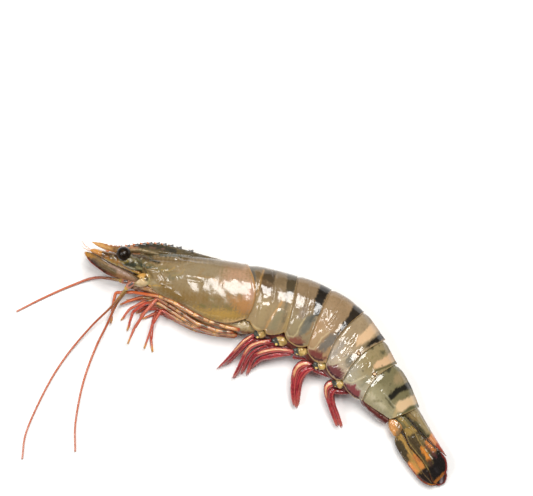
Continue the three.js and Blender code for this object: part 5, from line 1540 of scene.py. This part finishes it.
def buildSwimmeret(n, side):
    spec = swimmerets[n]
    dx, dy = (0, 0) if side > 0 else swimmerets["farShift"]
    level = spec["level"] - (0 if side > 0 else swimmerets["sideGap"])
    low = swimmerets["tips"][0 if side > 0 else 1]
    parts, hairs = [], []

    def leafPart(name, upper, lower, levels, thick, kind, *sizes):
        leaf = leafSkin(name, upper, lower, levels, thick, *sizes)
        mark(leaf, "kind", kind)
        parts.append(leaf)
        return leaf

    bulb = bladeSkin("bulb", [(x + dx, y + dy, level) for x, y in spec["bulb"]], swimmerets["bulbHalf"],
                     swimmerets["bulbThick"], 26, 26)
    mark(bulb, "kind", 2)
    push(bulb, 0.26 * unevenness(bulb, 1.8, n))
    parts.append(bulb)
    x, y = spec["knob"]
    knob = ball("knob", swimmerets["knobRadius"], (x + dx, y + dy, level + swimmerets["knobRise"]), None, 14, 10)
    for key, value in (("kind", 3), ("along", 0.5), ("across", 0)):
        mark(knob, key, value)
    push(knob, 0.12 * unevenness(knob, 1, 80 + n))
    parts.append(knob)
    for which, (outer, inner) in enumerate(spec["branches"]):
        start, end = level - 0.4 - 1.4 * which, low + 0.4 * which
        levels = [start, start, start + (end - start) * 0.35, start + (end - start) * 0.72, end]
        ahead = np.subtract(outer[-1], outer[-2]) + np.subtract(inner[-1], inner[-2])
        tip = np.add(outer[-1], inner[-1]) / 2 + ahead * 0.2
        share = np.linspace(0, 1, 12)
        outer, inner = smoothLine(np.vstack([outer, tip]), share), smoothLine(np.vstack([inner, tip]), share)
        middle, half = (outer + inner) / 2, (outer - inner) / 2 * (0.96 - 0.34 * share ** 1.6)[:, None]
        outer, inner = middle + half + (dx, dy), middle - half + (dx, dy)
        leaf = leafPart("branch", outer, inner, levels, swimmerets["branchThick"], 0.34 * which, 64, 30, 2,
                        swimmerets["ribs"])
        push(leaf, 0.03 * np.sin(marked(leaf, "along") * 150) + 0.06 * unevenness(leaf, 1.2, 90 + n + which))
        hairs += fringe(outer, inner, levels, (-1,), (0.3, 1), 34, 0.75, 0.1, 0.5)
        hairs += fringe(outer, inner, levels, (1,), (0.86, 1), 10, 0.9, 0.1, 0.15)
    upper, lower = np.add(spec["folded"][0], (dx, dy)), np.add(spec["folded"][1], (dx, dy))
    folded = leafPart("folded", upper, lower, [level - 2.6, level - 2.2, level - 2.4], [0.5, 0.8, 0.5], 1, 40, 20)
    push(folded, 0.1 * unevenness(folded, 0.9, 100 + n))
    hairs += fringe(upper, lower, [level - 2.4] * 3, (-1,), (0.05, 0.8), 26, 0.55, 0.1, 0.9)
    return parts, hairs


swimmeretMaterial = swimmeretPaint()
redBristle = bristlePaint("redBristle", (158, 48, 54), (206, 104, 92))
for n in range(1, 6):
    for side, label, word in sides:
        parts, hairs = buildSwimmeret(n, side)
        finished(joinAll(f"swimmeret{n}{word}", parts), swimmeretMaterial, "swimmeret", f"swimmeret_{n}_{label}")
        finished(copies(f"swimmeret{n}{word}Hairs", bristle, hairs), redBristle, "swimmeret")
print("swimmerets done")

underParts = {
    "legBed": {
        "upper": [(21, -5.6), (30, -4.8), (40, -4), (50, -1.4), (58.4, 3.2)],
        "lower": [(23.6, -11), (32, -11.4), (41, -10.4), (50, -6.9), (60.2, -1.4)],
        "levels": [6, 6.2, 6.2, 6.4, 6.8], "thick": [1.4, 2.2, 2.4, 2.6, 2.6], "ground": (176, 138, 84),
        "other": (104, 82, 46),
        "stains": [
            # the dark lines between the legs and the maroon line along the bottom are painted shade
            ((30, -6.2, 34, -6.2, 38, -6), 0.5, 0.4, (50, 44, 28), 0.9),
            ((40, -5.4, 45, -4.6), 0.5, 0.4, (60, 54, 34), 0.85),
            ((47, -4, 51, -2.2), 0.5, 0.5, (206, 170, 96), 0.7), ((33, -9.6, 37, -9.6), 0.4, 0.4, (58, 46, 34), 0.85),
            ((42, -8.4, 46, -7), 0.4, 0.4, (64, 54, 38), 0.85),
            ((38, -10.9, 43, -10, 49, -7.4, 55, -4.4), 0.5, 0.4, (96, 38, 36), 0.85),
            ((52, -2.8, 57, -0.6), 0.7, 0.6, (222, 196, 150), 0.7),
        ],
    },
    "legRoots": {
        "upper": [(49, 1.6), (53.6, 4.2), (58.2, 8), (63.6, 7.2)],
        "lower": [(50.4, -2), (55.2, -1.2), (60, -0.4), (64, 2.8)],
        "levels": [11, 11.6, 11.8, 11.6], "thick": [3, 4, 4.2, 3], "ground": (178, 154, 108), "other": (130, 104, 62),
        "stains": [((56, 1.6, 60, 3), 0.5, 0.8, (206, 190, 160), 0.6),
                   ((57, -0.6, 62, 1.6), 0.6, 0.5, (116, 60, 44), 0.8),
                   ((52, 0.8, 54.6, 2.6), 0.5, 0.6, (120, 88, 54), 0.7)],
    },
    # a dark sheet under the belly between the swimmeret bulbs and the ring hems; its dark maroon is partly the
    # underside's own colour, partly painted shade
    "swimmeretRoots": {
        "upper": [(60, 8), (72, 10.6), (86, 11.4), (100, 10), (112, 6.6)],
        "lower": [(62, 2.6), (73, 4.4), (85, 5.6), (97, 5), (109, 3.4)],
        "levels": [9.6, 9.4, 9, 8.4, 7.6], "thick": [4, 4.6, 4.6, 4.2, 2.6], "ground": (122, 62, 50),
        "other": (84, 40, 34), "stains": [],
    },
    "tailUnderfold": {
        "upper": [(114.5, 7.2), (121, 5.4), (126.3, 5), (131.9, 5.4)],
        "lower": [(115.6, 4.4), (120.3, 2.6), (125.9, 1.6), (131.4, 1.5)],
        "levels": [7.4, 6.6, 5.6, 4.8], "thick": [3.5, 3.2, 2.8, 2], "ground": (108, 50, 46), "other": (82, 34, 32),
        # the pink line along the middle is a painted highlight
        "stains": [((117, 5.2, 121, 4.5, 124, 4.3, 128, 4.3, 131, 4), 0.4, 0.4, (196, 146, 126), 0.85),
                   ((116, 4, 120.3, 2.8, 125.9, 1.9, 131.4, 2), 1, 0.5, (92, 26, 20), 0.85)],
    },
}
underNodes = {"legBed": ("leg", "sternum"), "legRoots": ("leg", "sternum"), "swimmeretRoots": ("swimmeret", "sternum"),
              "tailUnderfold": ("abdomen_shell", "abdomen_6")}
for name, spec in underParts.items():
    part = stainedLeaf(name, spec, spec["levels"], (90, 40), 0.16, 2.2, 95)
    finished(part, fleshPaint(name + "Flesh", spec["other"], spec["ground"], spec["ground"], 4), *underNodes[name])
print("under parts done")

outerVein = (139.8, 1.7, 142.9, 0, 145.7, -1.3, 149.3, -3.4, 153.3, -5.5, 157.5, -6.9, 161.4, -7.8)
innerVein = (139.6, 6.3, 143.5, 5.8, 146.5, 4, 149.1, 3, 151.3, 2.3, 153.7, 1.5, 155.9, 0.6)
exopod = {
    "upper": [(138.4, 2.4), (141.2, 1.6), (144.7, -0.4), (149.2, -1.6), (154.1, -2.8), (158.4, -3.6), (162, -5.2),
              (163.7, -7.2)],
    "lower": [(137.6, 0.2), (139.5, -2.6), (143.6, -4.9), (148.5, -6.9), (153.4, -8.6), (157.8, -9.6), (161.4, -9.2),
              (163.3, -7.9)],
    "ribs": [(outerVein, 0.4, 0.35),
             ((143.6, -4.4, 148.5, -6.3, 153.4, -8, 157.8, -9), 0.35, 0.3)],
    "stains": [
        ((138.2, 0.2, 141, -0.5, 145.4, -2.4, 149.4, -5.4, 148.7, -7.3, 143.3, -5.3, 139, -3), 0, 0.7, (54, 50, 38),
         0.92), ((149.7, -6.4, 151.3, -6.9, 153.5, -7.6), 1.05, 0.8, (230, 150, 84), 0.95),
        ((146.8, -3.6, 149, -4.9, 152.8, -6.2), 0.5, 0.6, (186, 140, 74), 0.7),
        ((149.5, -2.4, 151.7, -3.4, 154.4, -4.6), 1.3, 0.6, (210, 134, 66), 0.9),
        ((149.8, -2.2, 152.1, -3), 0.5, 0.6, (150, 86, 60), 0.6),
        ((153.8, -9, 154.9, -7, 155.3, -4.6, 155.9, -2.4, 164.1, -6.2, 163.5, -8.6, 158.3, -10), 0, 0.8, (26, 18, 19),
         0.98), ((148.3, -7, 153.4, -8.7, 157.8, -9.7, 160.3, -9.4), 0.3, 0.2, (158, 56, 42), 0.9),
        ((139.4, -2.8, 143.6, -5, 148.3, -7), 0.2, 0.2, (72, 40, 36), 0.7),
        (outerVein, 0.1, 0.12, (150, 122, 84), 0.65),
        ((152.5, -8, 157.4, -8.9, 161, -8.8), 0.1, 0.12, (122, 90, 88), 0.6),
        ((160.7, -9.2, 162.7, -8.5, 163.5, -7.4), 0.32, 0.25, (200, 120, 48), 0.95),
    ],
}
endopod = {
    "upper": [(141, 7.6), (144.5, 7), (148.7, 6), (153.2, 5.3), (157.8, 5), (161.4, 3.4), (163.8, 0.2), (164, -3.2)],
    "lower": [(138.6, 4), (140.4, 2.8), (144.5, 0), (148.9, -1.3), (153, -2.4), (157.2, -4.3), (161, -6.8),
              (163.1, -7.4)],
    "ribs": [(innerVein, 0.5, 0.45),
             ((140.4, 3.4, 144.5, 0.6, 148.9, -0.8, 153, -2, 158, -4.4), 0.4, 0.35),
             ((144.1, 3.6, 148.3, 1.2, 153, 0), 0.6, 0.16)],
    "stains": [
        ((138.6, 4.2, 141, 7.8, 144.1, 7, 142.5, 4, 141.5, 2.6), 0, 0.8, (172, 140, 76), 0.85),
        ((143.5, 6.2, 147.3, 5.6, 151.5, 4.6, 149.4, 3.4, 146.5, 4.4), 0, 0.6, (122, 104, 64), 0.8),
        ((143.1, 4.6, 146.2, 2.8, 149.8, 1.4, 149.4, 0.2, 144.7, 1.4), 0, 0.6, (74, 60, 38), 0.75),
        ((150.9, 4.3, 154.5, 3.6), 1, 0.6, (122, 78, 60), 0.85),
        ((150, 2.1, 152.5, 0.9, 154.9, -0.2), 0.85, 0.75, (226, 142, 56), 0.95),
        ((150.1, 5.1, 152.9, 4.6, 154.5, 4.2), 0.65, 0.6, (208, 130, 66), 0.9),
        ((155.7, 5.2, 156.1, 3, 155.3, 1.4, 157, 0, 157.4, -1.8, 155.9, -3.4, 158.2, -5, 163.3, -7.8, 164.3, -3, 164.1,
          0.4, 161.4, 3.8, 158.2, 5.3), 0, 0.8, (20, 15, 15), 0.98),
        ((155.3, -0.6, 156.8, -1.6), 0.7, 0.5, (66, 44, 36), 0.8),
        ((155.1, 2.6, 156.5, 2.4), 0.6, 0.5, (92, 48, 52), 0.7),
        # the near-white marks on the midrib are painted highlights
        (innerVein, 0.17, 0.16, (168, 140, 82), 0.85), ((153.8, 1.5, 156, 0.6), 0.16, 0.12, (236, 232, 222), 0.8),
        ((151.1, 2.5, 152.5, 2), 0.14, 0.12, (214, 204, 176), 0.7),
        ((140.4, 2.9, 144.5, 0.1, 148.9, -1.3, 153, -2.5, 157.8, -4.9), 0.22, 0.2, (66, 46, 30), 0.8),
        ((140.4, 3.4, 144.5, 0.6, 148.9, -0.8, 153, -2, 157.2, -4), 0.2, 0.2, (150, 128, 76), 0.8),
        ((140.2, 2.8, 144.5, -0.1, 148.9, -1.4), 0.16, 0.15, (112, 66, 48), 0.8),
        ((159.3, -2, 161.4, -2.6), 0.5, 0.7, (46, 42, 44), 0.6),
        ((163.8, -1.4, 163.4, -4, 162.7, -7.2), 0.75, 0.45, (166, 102, 42), 0.92),
        ((158.4, 4.9, 161.3, 3.4, 163.4, 1, 164, -1.4), 0.5, 0.35, (128, 40, 38), 0.92),
    ],
}
tailFan = {
    "uropod_outer_left": (exopod, (0, 0), [6.4, 6, 5.4, 4.8, 4.2]),
    "uropod_inner_left": (endopod, (0, 0), [7.4, 7.3, 6.8, 6, 5.2]),
    "uropod_outer_right": (exopod, (0.2, -0.25), [1.9, 1.5, 1.2, 1, 0.9]),
    "uropod_inner_right": ({
        "upper": [(141.4, 6.4), (145.2, 5.8), (149.8, 4.8), (154.7, 3.6), (159.5, 2.2), (163.1, 0.2), (165.6, -2),
                  (166.5, -5)],
        "lower": [(139.6, 3.4), (142, 1.5), (146.2, -0.8), (150.4, -2.4), (155.2, -4.2), (159.9, -6.4), (163.3, -7.6),
                  (165.2, -7.2)],
        "ribs": endopod["ribs"],
        "stains": endopod["stains"][:7] + [
            ((161, -8, 167.3, -8, 167.3, 0, 161, 0), 0, 0.5, (52, 38, 42), 0.9),
            # the pale lavender patch on the blade's tip is a painted highlight
            ((164, -3.6, 165.1, -5.6), 0.5, 0.4, (178, 160, 168), 0.8),
            ((164, -0.7, 165.6, -2, 166.5, -4.6, 166, -6.4, 164.6, -7.5), 0.4, 0.3, (146, 48, 42), 0.95)],
    }, (0, 0), [2.3, 2.4, 2.4, 2.3, 2.2]),
}
telson = {
    "upper": [(137.6, 15.4), (141.5, 13.9), (146, 11.7), (149.8, 9.9), (152.8, 8.5), (155.9, 7.1), (159, 5.7),
              (160.6, 5)],
    "lower": [(135.2, 9), (139.6, 8.6), (143.2, 7.7), (147.2, 6.7), (150.7, 6.2), (154.2, 5.5), (158, 5),
              (160.4, 4.85)],
    "levels": [5.2, 5, 4.8, 4.6], "thick": [3.4, 3.2, 2.8, 2, 1.2, 0.4],
    "ribs": [((137, 11.4, 145.1, 9.6, 151.3, 7.6, 156.5, 6), 0.5, -0.25),
             ((140, 13.2, 147.2, 9.9, 154.4, 6.9), 0.5, 0.25)],
    "stains": [
        ((141, 9.9, 145.4, 8.5, 149.1, 7.7), 0.8, 0.6, (58, 60, 38), 0.85),
        ((137.5, 9.6, 141.5, 8.7, 146.2, 7.2, 149.3, 6.5), 0.3, 0.25, (52, 44, 28), 0.85),
        ((139, 12, 144.1, 10.6, 147.8, 9), 0.9, 0.8, (166, 146, 108), 0.7),
        ((137.4, 10.6, 140.6, 10.4), 0.7, 0.8, (140, 112, 62), 0.7),
        ((149.5, 10.2, 149.9, 6.2, 154.4, 5.3, 158.6, 4.9, 159, 5.9, 153.8, 8.4), 0, 0.6, (218, 142, 92), 0.95),
        ((150.7, 7.6, 154.4, 6.4), 0.3, 0.4, (232, 174, 126), 0.6),
        ((154.9, 6.7, 160.7, 5), 1.1, 0.7, (158, 60, 48), 0.85),
        ((140, 14.4, 146, 11.6, 149.8, 9.8), 0.25, 0.25, (112, 86, 52), 0.85),
        ((149.8, 9.8, 155.9, 7, 159.6, 5.4), 0.22, 0.25, (176, 84, 66), 0.7),
    ],
}
knobs = {
    "upper": [(131.6, 5), (133.4, 6.2), (135.6, 6.5), (137.5, 5.5), (138.6, 3.6), (138.9, 1.6)],
    "lower": [(131.4, 4.4), (132.3, 2.6), (134, 0.9), (135.8, 0), (137.3, -0.3), (138.4, 0.6)],
    "thick": [0.9, 1.6, 1.9, 1.75, 1.2], "out": 2.5,
    "stains": [
        ((135.8, 4.6, 137.6, 3, 138, 1.4), 0.9, 0.7, (128, 106, 74), 0.85),
        ((131.8, 3.6, 133.4, 1.4, 135.6, 0.2, 137.6, 0), 0.4, 0.3, (196, 132, 52), 0.85),
        ((132, 5.6, 135.4, 6.4, 137.4, 5.6), 0.3, 0.3, (150, 112, 52), 0.8),
        ((134.4, 4.8, 136, 3.4), 0.4, 0.5, (188, 146, 96), 0.6),
    ],
}
fanRoot = {
    "upper": [(131, 8.6), (134.5, 9.2), (138, 8.8), (141.8, 7.6)],
    "lower": [(131.4, 5.8), (134.5, 5.4), (137.5, 4.6), (140.5, 3.4)],
    "levels": [7.2, 7.4, 7.4, 7], "thick": [1.6, 1.6, 1.3, 0.6],
    "stains": [((132.6, 7.4, 136, 7.2, 139.4, 6.4), 0.5, 0.5, (178, 146, 80), 0.8),
               ((132.4, 6.2, 136, 5.6), 0.4, 0.4, (74, 66, 40), 0.8),
               ((132, 8.4, 136, 8.8), 0.3, 0.3, (88, 84, 52), 0.7)],
}


def fanPaint(name, one, other):
    paint = Paint(name, wetShell)
    fine = paint.noise(0.9, 4, 0.65, 3)
    streak = paint.noise(0.7, 3, 0.6, 1, (0.16, 1.4, 1), -0.3)
    colour = paint.stained(paint.mixed(one, other, paint.step(streak, 0.4, 0.6)))
    colour = paint.mixed(colour, (40, 30, 22), paint.step(streak, 0.54, 0.7) * 0.25)
    return paint.done(colour, streak * 0.8 + shellGrain(paint) * 0.5, 0.16, 0.3 + fine * 0.15)


fanThick, fanSizes = [0.9, 0.7, 0.55, 0.4, 0.12], (150, 84, 1.6)
fanMaterials = {"outer": fanPaint("tailFanOuter", (190, 148, 78), (160, 126, 66)),
                "inner": fanPaint("tailFanInner", (92, 77, 47), (76, 62, 40))}
darkBristle = bristlePaint("tailBristle", (126, 44, 36), (176, 96, 60))
for n, (node, (shape, (dx, dy), levels)) in enumerate(tailFan.items()):
    spec = {**shape, "thick": fanThick, "upper": np.add(shape["upper"], (dx, dy)),
            "lower": np.add(shape["lower"], (dx, dy))}
    leaf = stainedLeaf(wordsOf(node), spec, levels, fanSizes, 0.04, 1.4, 110 + n, 1.1)
    finished(leaf, fanMaterials[node.split("_")[1]], "tail_fan", node)
    hairs = fringe(spec["upper"], spec["lower"], levels, (1, -1), (0.62, 1), 46, 0.55, 0.1, 0.7)
    finished(copies(f"{wordsOf(node)}Hairs", bristle, hairs), darkBristle, "tail_fan")
finished(stainedLeaf("telson", telson, telson["levels"], fanSizes, 0.04, 1.4, 120, 1.1),
         fanPaint("tailSpine", (154, 136, 98), (136, 120, 82)), "tail_fan", "telson")
knobMaterial = fanPaint("tailKnob", (220, 160, 98), (204, 138, 76))
for side, label, word in sides:
    knob = stainedLeaf(f"uropodBase{word}", knobs, [4.4 + side * knobs["out"]] * 3, (70, 56, 2.2), 0.12, 1.8, 124)
    finished(knob, knobMaterial, "tail_knob", f"uropod_base_{label}")
root = stainedLeaf("uropodRoot", fanRoot, fanRoot["levels"], (70, 44), 0.1, 1.6, 126)
finished(root, fanPaint("tailRoot", (132, 122, 84), (108, 100, 66)), "tail_fan", "uropod_base_left")
hairs = []
for label in ("left", "right"):
    hairs += fringe(scales[label]["upper"], scales[label]["lower"], scales[label]["levels"], (-1,), (0, 0.16), 26, 0.7,
                    0.1, 2.4)
finished(copies("scaleHairs", bristle, hairs), bristlePaint("goldBristle", (206, 136, 56), (228, 176, 100)),
         "head_appendage")
bpy.data.objects.remove(bristle)
print("tail done")
